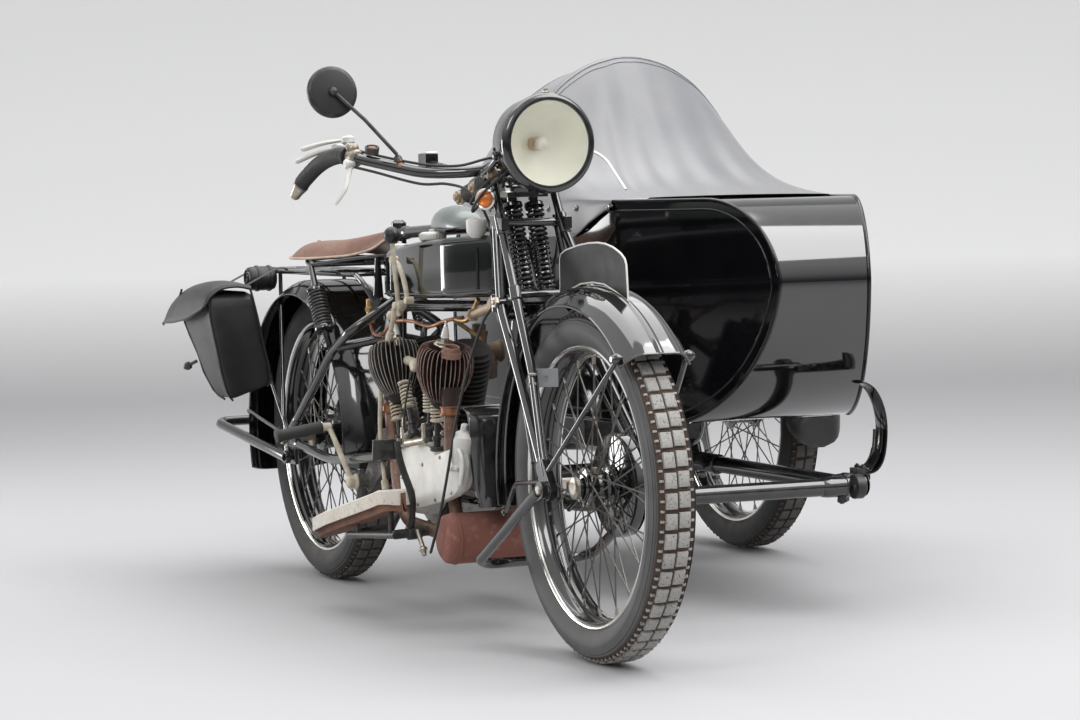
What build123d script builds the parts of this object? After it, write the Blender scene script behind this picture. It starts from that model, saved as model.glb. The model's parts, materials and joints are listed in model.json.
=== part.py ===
"""A 1920s side-valve V-twin motorcycle with a sports sidecar on its left.

The layout frame has x = 0 at the machine's centre plane, y = 0 at the rear axle and z = 0 on the ground.
Forward is -Y, the machine's right is -X and the sidecar is towards +X. All sizes are in millimetres.
Each piece is moved by one common shift at the end, so that the origin is the middle of the whole
footprint, on the ground.
"""

import os
from math import acos, atan2, cos, pi, radians, sin, sqrt

from build123d import *

os.makedirs("parts", exist_ok=True)

# Driving sizes
TYRE_R = 335
TYRE_HALF = 45
RIM_R = 268
RIM_HALF = 32
FRONT = (0, -1500, TYRE_R)
REAR = (0, 0, TYRE_R)
SIDE = (1066, -27, TYRE_R)
RAKE = 29
HEAD = (0, -1120, 780)
RUN = 0.05
BODY_X = 662
CHASSIS_Z = 262
CRANK = (-765, 312)
GEARBOX = (-545, 352)
SMALLEST = 50

nodes = {}


def on_axis(z):
    """The y of the steering axis at height z."""
    return HEAD[1] + (z - HEAD[2]) * sin(radians(RAKE)) / cos(radians(RAKE))


def steer_point(z):
    return (0, on_axis(z), z)


def facet(corners):
    """A flat face with these corners."""
    return Face(Wire.make_polygon([Vector(*corner) for corner in corners], close=True))


def banded(rings, looped=False, flat=True):
    """A solid whose skin runs from each ring of corners to the next.

    A looped one joins its last ring to its first. Bands that aren't flat are halved along a diagonal.
    """
    pairs = list(zip(rings, rings[1:]))
    faces = []
    if looped:
        pairs.append((rings[-1], rings[0]))
    else:
        faces = [facet(rings[0]), facet(rings[-1])]
    for near, far in pairs:
        for i in range(len(near)):
            j = (i + 1) % len(near)
            quad = [near[i], near[j], far[j], far[i]]
            if flat:
                faces.append(facet(quad))
            else:
                faces.append(facet(quad[:3]))
                faces.append(facet([quad[0], quad[2], quad[3]]))
    return Solid(Shell(faces))


def turned(start, end, profile, sides=12):
    """A turned piece with flats that stand in for its round side; profile rows are (distance, radius)."""
    a = Vector(*start)
    plane = Plane(origin=a, z_dir=Vector(*end) - a)
    rings = []
    for distance, radius in profile:
        ring = []
        for i in range(sides):
            turn = 2 * pi * (i + 0.5) / sides
            point = plane.from_local_coords(Vector(radius * cos(turn), radius * sin(turn), distance))
            ring.append((point.X, point.Y, point.Z))
        rings.append(ring)
    return banded(rings)


def rod(start, end, radius, sides=12):
    """A straight bar between two points."""
    return turned(start, end, [(0, radius), ((Vector(*end) - Vector(*start)).length, radius)], sides)


def round_rod(start, end, radius):
    """A true cylinder, for what turns or fits."""
    a = Vector(*start)
    b = Vector(*end)
    return Solid.make_cylinder(radius, (b - a).length, Plane(origin=a, z_dir=b - a))


def tube(points, radius, sides=6):
    """A tube along straight runs with mitred corners."""
    path = Polyline(*points)
    section = Plane(origin=path @ 0, z_dir=path % 0) * RegularPolygon(radius, sides)
    return sweep(section, path, transition=Transition.RIGHT).solid()


def eased(points, cut):
    """Turns each corner of a route into two, this far along the runs beside it."""
    route = [Vector(*points[0])]
    for before, corner, after in zip(points, points[1:], points[2:]):
        c = Vector(*corner)
        route.append(c + (Vector(*before) - c).normalized() * cut)
        route.append(c + (Vector(*after) - c).normalized() * cut)
    route.append(Vector(*points[-1]))
    return route


def slab(outline, x_from, x_to):
    """A plate cut to a (y, z) outline, from one x to another."""
    face = make_face(Polyline(*outline, close=True))
    return extrude(Plane.YZ.offset(x_from) * face, x_to - x_from).solid()


def disc(centre_yz, radius, x_from, x_to, sides=20):
    """A round plate across the machine."""
    return rod((x_from, *centre_yz), (x_to, *centre_yz), radius, sides)


def oval(a, b, radius_a, radius_b, x_from, x_to, sides=20):
    """The plate round two circles and the tangents between them, across the machine."""
    run = Vector(b[0] - a[0], b[1] - a[1])
    heading = atan2(run.Y, run.X)
    lean = acos((radius_a - radius_b) / run.length)
    outline = []
    for centre, radius, first, last in ((a, radius_a, lean, 2 * pi - lean), (b, radius_b, -lean, lean)):
        steps = max(2, round(sides * (last - first) / (2 * pi)))
        for i in range(steps + 1):
            angle = heading + first + (last - first) * i / steps
            outline.append((centre[0] + radius * cos(angle), centre[1] + radius * sin(angle)))
    return slab(outline, x_from, x_to)


WHEEL_SIDES = 36


def hoop(centre, section):
    """A closed (x, radius) section carried round an axle, with a flat at the bottom."""
    rings = []
    for i in range(WHEEL_SIDES):
        turn = 2 * pi * (i + 0.5) / WHEEL_SIDES
        reach = 1 / cos(pi / WHEEL_SIDES)
        rings.append([
            (centre[0] + x, centre[1] + r * reach * cos(turn), centre[2] + r * reach * sin(turn)) for x, r in section
        ])
    return banded(rings, looped=True)


def arch(centre, section, from_angle, to_angle, steps=12):
    """A closed (x, radius) section carried part of the way round: 0 is forward, 90 is up, 180 is back."""
    rings = []
    for i in range(steps + 1):
        turn = radians(from_angle + (to_angle - from_angle) * i / steps)
        rings.append([(centre[0] + x, centre[1] - r * cos(turn), centre[2] + r * sin(turn)) for x, r in section])
    return banded(rings)


def both(shape):
    """A piece and its mirror image on the machine's other side."""
    return [shape, mirror(shape, Plane.YZ)]


def fused(*shapes):
    """One solid from pieces that run into each other."""
    flat = []
    for shape in shapes:
        flat.extend(shape if isinstance(shape, list) else [shape])
    return flat[0].fuse(*flat[1:])


def keep(name, *shapes):
    """Stores a node as one or more solids."""
    solids = []
    for shape in shapes:
        flat = shape if isinstance(shape, list) else [shape]
        for piece in flat:
            solids.extend(piece.solids())
    nodes[name] = Compound(solids) if len(solids) > 1 else solids[0]


def seat(name, *others):
    """Cuts the pockets in a node where its neighbours enter it."""
    shape = nodes[name]
    for other in others:
        shape = shape - nodes[other]
    solids = [piece for piece in shape.solids() if piece.volume > SMALLEST]
    nodes[name] = Compound(solids) if len(solids) > 1 else solids[0]


# Wheels: each hub is a row of (x from, x to, radius) turned pieces, seen from the right to the left
AXLE_R = 9
BORE_R = AXLE_R + RUN
WIRES = 16
WIRE_R = 2.2
WIRE_LEAN = 62
FLANGE_R = 38
SPROCKET_R = 80
HUBS = {
    "front": [(-58, 58, 20), (-36, -32, FLANGE_R), (12, 16, FLANGE_R), (24, 50, 98)],
    "rear": [(-58, 70, 22), (-36, -32, FLANGE_R), (20, 24, FLANGE_R), (30, 52, 98), (62, 68, SPROCKET_R)],
    "sidecar": [(-58, 58, 20), (-36, -32, FLANGE_R), (32, 36, FLANGE_R)],
}
FLANGE_X = {"front": (-34, 14), "rear": (-34, 22), "sidecar": (-34, 34)}
RIM = [(-RIM_HALF, RIM_R), (RIM_HALF, RIM_R), (RIM_HALF, RIM_R - 5), (12, RIM_R - 22), (-12, RIM_R - 22),
       (-RIM_HALF, RIM_R - 5)]
TYRE = [(-26, RIM_R), (-TYRE_HALF, 300), (-36, 324), (-16, TYRE_R), (16, TYRE_R), (36, 324), (TYRE_HALF, 300),
        (26, RIM_R)]


def wheel(name, centre):
    """Rim, hub and crossed wire spokes in one node, and the tyre in another."""
    x, y, z = centre
    wires = []
    for i in range(WIRES):
        side = i % 2
        lead = 1 if (i // 2) % 2 else -1
        flange = FLANGE_X[name][side] + (2 if side else -2) * lead
        at_rim = 2 * pi * i / WIRES
        at_hub = at_rim + lead * radians(WIRE_LEAN)
        hub_end = (x + flange, y + 34 * cos(at_hub), z + 34 * sin(at_hub))
        rim_end = (x + (4 if side else -4), y + 250 * cos(at_rim), z + 250 * sin(at_rim))
        wires.append(rod(hub_end, rim_end, WIRE_R, 3))
    hub = [rod((x + a, y, z), (x + b, y, z), radius, 14) for a, b, radius in HUBS[name]]
    whole = fused(hoop(centre, RIM), *hub, *wires) - round_rod((x - 80, y, z), (x + 80, y, z), BORE_R)
    keep(name + "_wheel", whole)
    keep(name + "_tyre", hoop(centre, TYRE))


wheel("front", FRONT)
wheel("rear", REAR)
wheel("sidecar", SIDE)

# Front frame: head, two tubes above and below the tank, seat tube, down tube and the engine rails
keep("front_frame", fused(
    rod(steer_point(692), steer_point(878), 24, 16),
    tube([(0, -1080, 832), (0, -470, 812)], 13),
    tube([(0, -1150, 716), (0, -1086, 668), (0, -452, 652)], 13),
    tube([(0, -462, 814), (0, -440, 330)], 15),
    tube([(0, -1140, 716), (0, -1042, 300)], 15),
    *both(tube([(8, -1046, 312), (50, -1010, 266), (50, -480, 266), (8, -440, 340)], 9)),
) - round_rod(steer_point(640), steer_point(930), 15 + RUN))

# Rear frame: chain stays and seat stays that pass outside the mudguard, with the stand's pivots
STAY_X = 112
STAND_PIVOT = (-30, 293)
STAND_PIN_R = 8
keep("rear_frame", fused(
    *both(tube([(STAY_X, -622, 336), (STAY_X, -295, 304), (STAY_X, -22, 328)], 11)),
    *both(tube([(10, -452, 664), (STAY_X, -440, 600), (STAY_X, -315, 551), (STAY_X, -24, 356)], 10)),
    *both(slab([(-50, 276), (-50, 352), (24, 352), (24, 316), (-10, 276)], STAY_X - 4, STAY_X + 4)),
    tube([(-STAY_X, -614, 335), (STAY_X, -614, 335)], 9),
    tube([(-STAY_X, -440, 316), (STAY_X, -440, 316)], 9),
    *both(round_rod((STAY_X + 4, *STAND_PIVOT), (STAY_X + 24, *STAND_PIVOT), STAND_PIN_R)),
))
keep(
    "rear_axles",
    round_rod((-136, 0, TYRE_R), (136, 0, TYRE_R), AXLE_R),
    round_rod((930, SIDE[1], TYRE_R), (1140, SIDE[1], TYRE_R), AXLE_R),
)
seat("rear_frame", "front_frame", "rear_axles")

# Engine: two leaning cylinders on a round crankcase
CYL_LEAN = 26
CHEST_AT = {-1: (-80, -914, 536), 1: (-80, -636, 530)}
CHEST_ROWS = [(-72, 22), (-44, 42), (-16, 52), (10, 58), (36, 53), (54, 30), (62, 18)]
CHEST_RIBS = 12
RIB_DEEP = 8
BARREL = [(110, 62), (122, 62), (122.5, 48), (158, 48), (158.5, 60), (163, 60), (163.5, 48), (198, 48), (198.5, 60),
          (203, 60), (203.5, 48), (238, 48), (238.5, 58), (243, 58), (243.5, 46), (296, 40)]
PLUG_AT = {-1: (-76, -912, 600), 1: (-80, -652, 586)}
CAP_AT = {-1: (-84, -962, 588), 1: (-80, -600, 572)}


def up_cylinder(distance, side, x=0, across=0):
    """A point along a cylinder's centre line and across it; side -1 is the front one."""
    lean = radians(CYL_LEAN)
    y = CRANK[0] + side * (distance * sin(lean) + across * cos(lean))
    z = CRANK[1] + distance * cos(lean) - across * sin(lean)
    return (x, y, z)


def chest(side):
    """The valve chest beside a barrel: a bulb whose ribs run up and down."""
    x, y, z = CHEST_AT[side]
    rings = []
    for height, radius in CHEST_ROWS:
        ring = []
        for i in range(2 * CHEST_RIBS):
            reach = radius - RIB_DEEP * (i % 2)
            turn = pi * (i + 0.5) / CHEST_RIBS
            ring.append((x + reach * cos(turn), y + reach * sin(turn), z + height))
        rings.append(ring)
    return banded(rings, flat=False)


def cylinder(side):
    """Finned barrel and valve chest in one, with the chest's open cap and its spark plug."""
    foot = Vector(*up_cylinder(0, side))
    top = Vector(*up_cylinder(300, side))
    x, y, z = PLUG_AT[side]
    ring = CAP_AT[side]
    return fused(
        turned(foot, top, BARREL, 12),
        rod(up_cylinder(236, side), CHEST_AT[side], 34, 8),
        chest(side),
        turned((x, y, z - 24), (x, y, z + 54), [(0, 22), (28, 22), (28.5, 10), (46, 10), (46.5, 6), (76, 4)], 8),
        rod((ring[0], ring[1], ring[2] - 36), (ring[0], ring[1], ring[2] + 8), 18, 8),
    )


keep("front_cylinder", cylinder(-1))
keep("rear_cylinder", cylinder(1))
seat("rear_cylinder", "front_cylinder")
keep("crankcase", fused(
    disc(CRANK, 120, -56, 56),
    slab([(-1036, 282), (-1036, 300), (-900, 400), (-630, 400), (-500, 330), (-500, 282)], -36, 36),
    disc(CRANK, 34, 56, 70, 12),
))
seat("crankcase", "front_cylinder", "rear_cylinder", "front_frame", "rear_frame")
TIMING_CHEST = [(-662, 296), (-652, 340), (-664, 362), (-700, 374), (-745, 378), (-830, 370), (-872, 350), (-880, 300),
                (-862, 250), (-800, 224), (-740, 222), (-690, 244)]
TIMING_WEDGE = [(-722, 300), (-728, 262), (-752, 243), (-802, 239), (-861, 246), (-971, 268), (-1030, 284), (-1056, 298),
                (-1074, 326), (-1082, 356), (-1074, 378), (-1050, 386), (-1010, 378), (-893, 352), (-790, 326), (-740, 314)]
MAGNETO = (-1005, 366)
keep("timing_cover", fused(
    slab(TIMING_CHEST, -90, -56),
    slab(TIMING_WEDGE, -114, -88),
    turned((-100, -1042, 350), (-99, -1067, 420), [(0, 18), (20, 24), (56, 24), (72, 10)], 12),
    rod((-92, *MAGNETO), (48, *MAGNETO), 33, 12),
))
seat("timing_cover", "front_frame", "crankcase", "front_cylinder", "rear_cylinder")
SPRINGS = [((-654, 419), (-640, 464)), ((-720, 450), (-702, 494)), ((-842, 448), (-844, 486)), ((-883, 430), (-886, 472))]
SPRING_X = -88
GUIDE = 64
valve_gear = []
for foot, top in SPRINGS:
    low = Vector(SPRING_X, *foot)
    high = Vector(SPRING_X, *top)
    length = (high - low).length
    start = low - (high - low).normalized() * GUIDE
    valve_gear.append(turned(start, high, [(0, 9), (GUIDE - 4, 9), (GUIDE - 3.5, 13), (GUIDE + length, 13)], 8))
keep("valve_gear", valve_gear)
seat("valve_gear", "timing_cover", "front_cylinder", "rear_cylinder", "crankcase")
KICK = (-452, 268)
keep("gearbox", fused(oval(GEARBOX, (-545, 404), 60, 50, -44, 56), oval(GEARBOX, KICK, 50, 26, -64, -40), disc(KICK, 20, -112, -44, 12)))
seat("gearbox", "front_frame", "rear_frame", "crankcase", "rear_cylinder")

# Drives on the left: the primary case outside, the rear chain and its guard behind it
CHAIN_X = (62, 68)
keep("primary_case", oval(CRANK, GEARBOX, 72, 88, 72, 98))
seat("primary_case", "rear_frame", "front_frame")
rear_chain = oval(REAR[1:], GEARBOX, SPROCKET_R + 15, 54, *CHAIN_X) - oval(REAR[1:], GEARBOX, SPROCKET_R + 8, 47,
                                                                          CHAIN_X[0] - 1, CHAIN_X[1] + 1)
chain_guard = fused(
    slab([(-450, 416), (-450, 420), (-40, 440), (-40, 436)], 56, 90),
    slab([(-450, 389), (-450, 420), (-40, 440), (-40, 400)], 87, 90),
    rod((88, -420, 400), (108, -420, 322), 5, 6),
)
keep("rear_chain", fused(rear_chain, disc(GEARBOX, 49, *CHAIN_X), disc(GEARBOX, 22, 56, 72, 12)), chain_guard)
seat("rear_chain", "rear_frame")

# Exhaust: pipes drop from the ports to a silencer that lies across the machine
SILENCER = (-1000, 194)
silencer = turned((-130, *SILENCER), (130, *SILENCER), [(0, 26), (16, 52), (244, 52), (260, 26)], 20)
front_pipe = tube([(-80, -938, 500), (-80, -940, 290), (-84, -984, 208)], 15)
rear_pipe = tube([(-80, -597, 490), (-80, -598, 400), (-100, -685, 258), (-104, -740, 208), (-100, -980, 196)], 15)
keep("exhaust", fused(silencer, front_pipe, rear_pipe))
seat("exhaust", "front_cylinder", "rear_cylinder", "timing_cover", "crankcase", "front_frame", "rear_frame", "gearbox")
keep("carburettor", fused(
    rod((40, -765, 560), (110, -765, 560), 18, 10),
    rod((78, -765, 596), (78, -765, 500), 21, 10),
    rod((78, -820, 520), (78, -765, 520), 16, 10),
    rod((0, -700, 566), (60, -765, 560), 12, 8),
    rod((0, -830, 566), (60, -765, 560), 12, 8),
))
seat("carburettor", "front_cylinder", "rear_cylinder", "primary_case")

# Petrol tank between the two tubes: rows of (y, half width, bottom, top)
TANK = [(-1112, 46, 692, 800), (-1090, 58, 688, 804), (-920, 74, 680, 796), (-760, 77, 677, 788), (-530, 62, 673, 776),
        (-500, 50, 673, 766)]
TANK_EDGE = 16


def tank_ring(y, half, low, high):
    """A box with its long edges cut, seen along the machine."""
    edge = TANK_EDGE
    right = [(-half, low + edge), (-half, high - edge), (-half + edge, high)]
    left = [(half - edge, high), (half, high - edge), (half, low + edge)]
    base = [(half - edge, low), (-half + edge, low)]
    return [(x, y, z) for x, z in right + left + base]


tank = banded([tank_ring(*row) for row in TANK], flat=False) - rod(steer_point(600), steer_point(960), 28, 12)
filler = turned((-40, -766, 776), (-40, -766, 820), [(0, 22), (24, 22), (24.5, 28), (36, 28), (44, 20)], 14)
oil_filler = turned((-36, -560, 756), (-36, -560, 800), [(0, 14), (28, 14), (28.5, 19), (40, 19), (44, 14)], 12)
keep("petrol_tank", fused(tank, filler, oil_filler))
seat("petrol_tank", "front_frame")

# Saddle on its two springs: rows of (y, half width, underside, top)
SADDLE = [(-448, 16, 796, 812), (-420, 27, 786, 817), (-350, 46, 764, 811), (-270, 82, 756, 804), (-200, 110, 753, 801),
          (-130, 129, 752, 799), (-80, 124, 754, 797), (-52, 98, 758, 790)]


def saddle_ring(y, half, low, high):
    """A low crown over a skirt, seen along the machine."""
    shoulder = high - 6
    return [(x, y, z) for x, z in [(-half, low), (-half, shoulder), (-half * 0.6, high), (half * 0.6, high),
                                   (half, shoulder), (half, low)]]


keep("saddle", banded([saddle_ring(*row) for row in SADDLE], flat=False))
seat("saddle", "front_frame")
SADDLE_SPRING_X = 122
COIL = [(0, 10), (12, 22), (92, 22), (104, 10), (168, 8)]
keep("saddle_springs", fused(
    *both(turned((SADDLE_SPRING_X - 2, -294, 592), (SADDLE_SPRING_X - 6, -200, 746), COIL, 12)),
    rod((-SADDLE_SPRING_X, -200, 744), (SADDLE_SPRING_X, -200, 744), 7, 8),
    rod((0, -452, 752), (0, -200, 750), 7, 8),
    *both(rod((SADDLE_SPRING_X - 8, -304, 540), (SADDLE_SPRING_X - 2, -294, 600), 8, 8)),
))
seat("saddle_springs", "front_frame", "saddle", "rear_frame")

# Rear mudguard
REAR_GUARD = [(-98, 336), (-100, 350), (-80, 368), (80, 368), (100, 350), (98, 336), (96, 350), (79, 365), (-79, 365),
              (-96, 350)]
CHAIN_SLOT = Pos(78, -370, 345) * Box(60, 130, 230)
keep("rear_mudguard", arch(REAR, REAR_GUARD, -8, 196, steps=17) - CHAIN_SLOT)
seat("rear_mudguard", "front_frame", "rear_frame", "saddle_springs", "rear_chain")

# Luggage rack over the mudguard, with one bag on the right: bag rows are (z, x out, x in, y front, y back)
RACK_Z = 722
RACK_HALF = 80
RACK_ENDS = (-400, 320)
rack_rail = tube([(RACK_HALF, RACK_ENDS[0], RACK_Z), (RACK_HALF, RACK_ENDS[1], RACK_Z),
                  (-RACK_HALF, RACK_ENDS[1], RACK_Z), (-RACK_HALF, RACK_ENDS[0], RACK_Z)], 6)
rack_bars = [tube([(-RACK_HALF, y, RACK_Z), (RACK_HALF, y, RACK_Z)], 5) for y in (-390, -170, -50, 75, 200)]
rack_struts = both(tube([(RACK_HALF, 150, RACK_Z), (112, 140, 660), (112, 6, 346)], 5))
keep("luggage_rack", fused(rack_rail, *rack_bars, *rack_struts))
seat("luggage_rack", "rear_frame", "rear_mudguard")
BAG = [(430, -243, -172, 44, 70), (452, -256, -160, 39, 122), (530, -271, -147, 34, 198), (620, -286, -148, 35, 260),
       (684, -284, -150, 40, 274)]
LID = [(24, -156, 684, -226, 702, -272, 682, -298, 650), (40, -150, 686, -226, 708, -284, 684, -306, 646),
       (130, -148, 688, -226, 710, -288, 676, -312, 624), (220, -148, 686, -226, 706, -292, 668, -318, 612),
       (294, -150, 676, -226, 694, -294, 652, -320, 608)]
LID_THICK = 7
bag_rings = []
for z, x_out, x_in, y_front, y_back in BAG:
    bag_rings.append([(x_out, y_front, z), (x_in, y_front, z), (x_in, y_back, z), (x_out, y_back, z)])
lid_rings = []
for y, *places in LID:
    line = list(zip(places[0::2], places[1::2]))
    lid_rings.append([(x, y, z) for x, z in line] + [(x, y, z - LID_THICK) for x, z in reversed(line)])
keep("pannier_bag", fused(banded(bag_rings, flat=False), banded(lid_rings, flat=False)))

# Foot and hand controls on the right side
FOOTBOARD = [(-930, 304), (-890, 303), (-840, 292), (-700, 262), (-560, 232), (-452, 204), (-452, 180), (-560, 208),
             (-840, 268), (-930, 280)]
board_rods = fused(
    rod((60, -880, 262), (92, -880, 200), 9, 8),
    rod((86, -880, 204), (190, -880, 196), 10, 8),
    rod((187, -888, 196), (187, -600, 170), 8, 8),
    rod((100, -640, 180), (192, -640, 178), 8, 8),
    rod((187, -860, 194), (186, -860, 284), 6, 6),
    rod((187, -660, 174), (186, -660, 244), 6, 6),
    slab(FOOTBOARD, 146, 226),
)
gear_rod = fused(
    tube([(-108, -703, 802), (-104, -706, 730), (-98, -706, 640)], 6),
    turned((-108, -703, 794), (-108, -703, 830), [(0, 5), (8, 16), (22, 17), (32, 10), (36, 4)], 10),
    rod((-84, -706, 662), (-112, -706, 662), 12, 8),
    tube([(-108, -706, 656), (-118, -702, 606), (-134, -673, 492), (-134, -659, 390), (-118, -650, 268)], 5),
)
brake_pedal = fused(
    tube([(-190, -914, 392), (-182, -922, 336), (-166, -938, 276), (-152, -882, 204)], 8),
    banded([[(x, y, z) for y, z in ((-917, 397), (-911, 398), (-904, 356), (-910, 355))] for x in (-242, -188)]),
)
kick_starter = fused(
    rod((-112, *KICK), (-136, *KICK), 15, 10),
    tube([(-126, *KICK), (-138, -425, 310), (-152, -392, 388)], 8),
    rod((-146, -392, 388), (-272, -388, 372), 12, 8),
)
brake_cable = tube([(-84, -1126, 668), (-106, -1110, 560), (-122, -1060, 440), (-136, -1016, 250), (-144, -985, 180)], 4)
keep("controls", fused(board_rods, brake_pedal), mirror(board_rods, Plane.YZ), gear_rod, kick_starter, brake_cable)
seat("controls", "exhaust", "petrol_tank", "front_frame", "gearbox", "timing_cover")
keep("undershield", slab([(-1086, 272), (-1082, 272), (-1082, 462), (-1086, 462)], -96, 96))
seat("undershield", "front_frame", "timing_cover", "crankcase")

# Sidecar chassis
CHASSIS_SIDE = 740
LEG_X = 944
keep("sidecar_chassis", fused(
    tube(eased([(10, -1052, 300), (110, -1132, CHASSIS_Z), (CHASSIS_SIDE, -1150, CHASSIS_Z),
                (CHASSIS_SIDE, 250, CHASSIS_Z), (380, 250, CHASSIS_Z), (120, -150, 306)], 30), 19, 8),
    tube([(56, -480, CHASSIS_Z), (CHASSIS_SIDE, -480, CHASSIS_Z)], 16, 8),
    tube([(CHASSIS_SIDE, SIDE[1], CHASSIS_Z), (LEG_X, SIDE[1], CHASSIS_Z + 10), (LEG_X, SIDE[1], TYRE_R + 22)], 15),
))
seat("sidecar_chassis", "front_frame", "rear_frame", "rear_axles")
seat("undershield", "sidecar_chassis")
seat("crankcase", "sidecar_chassis")

# Sidecar body: a profile seen from the side and a plan seen from above, both hollowed by the wall
WALL = 12
NOSE_Y = -1194
BODY_TOP = 870
BODY_FLOOR = 392
BODY_PLAN = [(-1260, 80), (-742, 275), (-420, 292), (-60, 290), (400, 190)]


def body_profile(inset):
    """The side view of the body's wrap, moved in by an inset."""
    slant = inset * 0.7
    low = BODY_FLOOR + inset
    high = BODY_TOP - inset
    return make_face([
        Line((330 - inset, low), (-900, low)),
        ThreePointArc((-900, low), (-1118 + slant, 520 + slant), (NOSE_Y + inset, 694)),
        ThreePointArc((NOSE_Y + inset, 694), (-1140 + slant, 812 - slant), (-1000, high)),
        Line((-1000, high), (150, high)),
        ThreePointArc((150, high), (370 - slant, 680), (330 - inset, low)),
    ])


def body_block(profile_inset, plan_inset):
    """The body's outline between its profile and its plan."""
    right = [(BODY_X - half + plan_inset, y) for y, half in BODY_PLAN]
    left = [(BODY_X + half - plan_inset, y) for y, half in reversed(BODY_PLAN)]
    plan_view = extrude(Plane.XY.offset(300) * make_face(Polyline(*right, *left, close=True)), 700).solid()
    side_view = extrude(Plane.YZ.offset(BODY_X - 400) * body_profile(profile_inset), 800).solid()
    return (side_view & plan_view).solid()


shell = body_block(0, 0)
core = body_block(0, WALL)
COCKPIT = (-690, 60)
opening = Pos(BODY_X, sum(COCKPIT) / 2, BODY_TOP) * Box(440, COCKPIT[1] - COCKPIT[0], 100)
walls = (shell - core).solids()
right_side = min(walls, key=lambda wall: wall.center().X)
left_side = max(walls, key=lambda wall: wall.center().X)
DOOR = (-690, -410, 480, 845)
DOOR_GAP = 5


def door_block(gap):
    """The slice of the left wall that the door fills, less a gap all round."""
    front, back, low, high = DOOR
    middle = (BODY_X + 300, (front + back) / 2, (low + high) / 2)
    return Pos(*middle) * Box(120, back - front - 2 * gap, high - low - 2 * gap)


keep("sidecar_sides", right_side, left_side - door_block(0))
keep("sidecar_door", left_side & door_block(DOOR_GAP))
keep("sidecar_wrap", core - body_block(WALL, WALL) - opening)
seat_back = slab([(-140, 410), (-60, 820), (0, 820), (-80, 410)], BODY_X - 200, BODY_X + 200)
seat_base = slab([(-560, 410), (-560, 560), (-120, 530), (-144, 410)], BODY_X - 200, BODY_X + 200)
keep("sidecar_seat", seat_base, seat_back)
seat("sidecar_seat", "sidecar_wrap", "sidecar_sides")

# Sidecar hood: (y, half width, height) of its hoops above the body's rim
CLOTH = 5
HOOPS = [(-742, 272, 8), (-660, 279, 26), (-580, 284, 54), (-500, 286, 96), (-420, 287, 158), (-350, 287, 234),
         (-290, 287, 306), (-248, 287, 334), (-80, 285, 306), (70, 268, 204), (150, 240, 60)]
HOOP_STEPS = 10


def hood(inset, drop):
    """The hood's outer form, or its inner one when moved in by an inset."""
    rings = []
    for y, half, height in HOOPS:
        ring = [(BODY_X + half - inset, y, BODY_TOP - drop)]
        for i in range(1, HOOP_STEPS):
            angle = pi * i / HOOP_STEPS
            ring.append((BODY_X + (half - inset) * cos(angle), y, BODY_TOP + (height - inset) * sin(angle)))
        ring.append((BODY_X - half + inset, y, BODY_TOP - drop))
        rings.append(ring)
    return banded(rings, flat=False)


hollow = hood(CLOTH, 20) & Pos(BODY_X, -290, 900) * Box(700, 830, 700)
keep("sidecar_hood", hood(0, 0) - hollow)
seat("sidecar_hood", "sidecar_wrap", "sidecar_sides", "sidecar_seat")

# Sidecar mudguard and the body's springs
SIDE_GUARD = [(-72, 362), (-74, 374), (-56, 394), (56, 394), (74, 374), (72, 362), (70, 374), (55, 391), (-55, 391),
              (-70, 374)]
guard_stay = tube([(LEG_X + 6, SIDE[1], 352), (LEG_X + 28, SIDE[1], 400), (LEG_X + 40, SIDE[1], 560),
                   (SIDE[0] - 66, SIDE[1], 712)], 8)
keep("sidecar_mudguard", fused(arch(SIDE, SIDE_GUARD, 2, 190, steps=15), guard_stay))
seat("sidecar_mudguard", "sidecar_chassis", "rear_axles")
keep(
    "sidecar_springs",
    tube([(CHASSIS_SIDE, -1130, CHASSIS_Z + 18), (797, -1130, 290), (821, -1130, 340), (825, -1130, 400),
          (803, -1130, 458), (765, -1130, 484), (725, -1130, 480)], 9),
    tube([(600, 262, CHASSIS_Z + 10), (600, 380, 262), (600, 410, 310), (600, 395, 370), (600, 330, 400)], 9),
)
seat("sidecar_springs", "sidecar_chassis", "sidecar_wrap", "sidecar_sides")

# Girder fork
FORK_TOP = (-1150, 934)
FORK_LOW = (-1222, 681)
fork_blade = fused(
    tube([(60, -1152, 932), (84, -1213, 835), (92, -1292, 691), (107, -1436, 372)], 8),
    tube([(84, -1175, 837), (88, -1209, 685), (107, -1404, 372)], 7),
    slab([(-1224, 822), (-1224, 846), (-1166, 850), (-1166, 824)], 77, 91),
    oval((-1500, TYRE_R), (-1418, 372), 20, 18, 100, 114, sides=12),
)
keep("front_axle", round_rod((-132, -1500, TYRE_R), (132, -1500, TYRE_R), AXLE_R))
keep("fork_girder", fused(
    *both(fork_blade),
    rod((-80, -1196, 836), (80, -1196, 836), 8, 8),
    rod((-86, *FORK_TOP), (86, *FORK_TOP), 9, 8),
    rod((-88, *FORK_LOW), (88, *FORK_LOW), 9, 8),
))
seat("fork_girder", "front_axle")
STEM_R = 15
top_lug = (on_axis(905), 905)
low_lug = (on_axis(655), 655)
DAMPER = (-971, 887)
keep("fork_links", fused(
    round_rod(steer_point(690), steer_point(880), STEM_R),
    rod(steer_point(640), steer_point(690), 20, 12),
    rod(steer_point(880), steer_point(926), 24, 12),
    rod((-66, *top_lug), (66, *top_lug), 12, 10),
    rod((-62, *low_lug), (62, *low_lug), 12, 10),
    *both(oval(FORK_TOP, top_lug, 16, 18, 64, 74, sides=12)),
    *both(oval(low_lug, FORK_LOW, 18, 15, 60, 70, sides=12)),
    oval(top_lug, DAMPER, 16, 14, -72, -64, sides=12),
    disc(FORK_TOP, 21, -84, -74, 12),
    disc(top_lug, 15, -86, -72, 8),
    disc(DAMPER, 20, -84, -72, 12),
))
seat("fork_links", "fork_girder")
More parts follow.
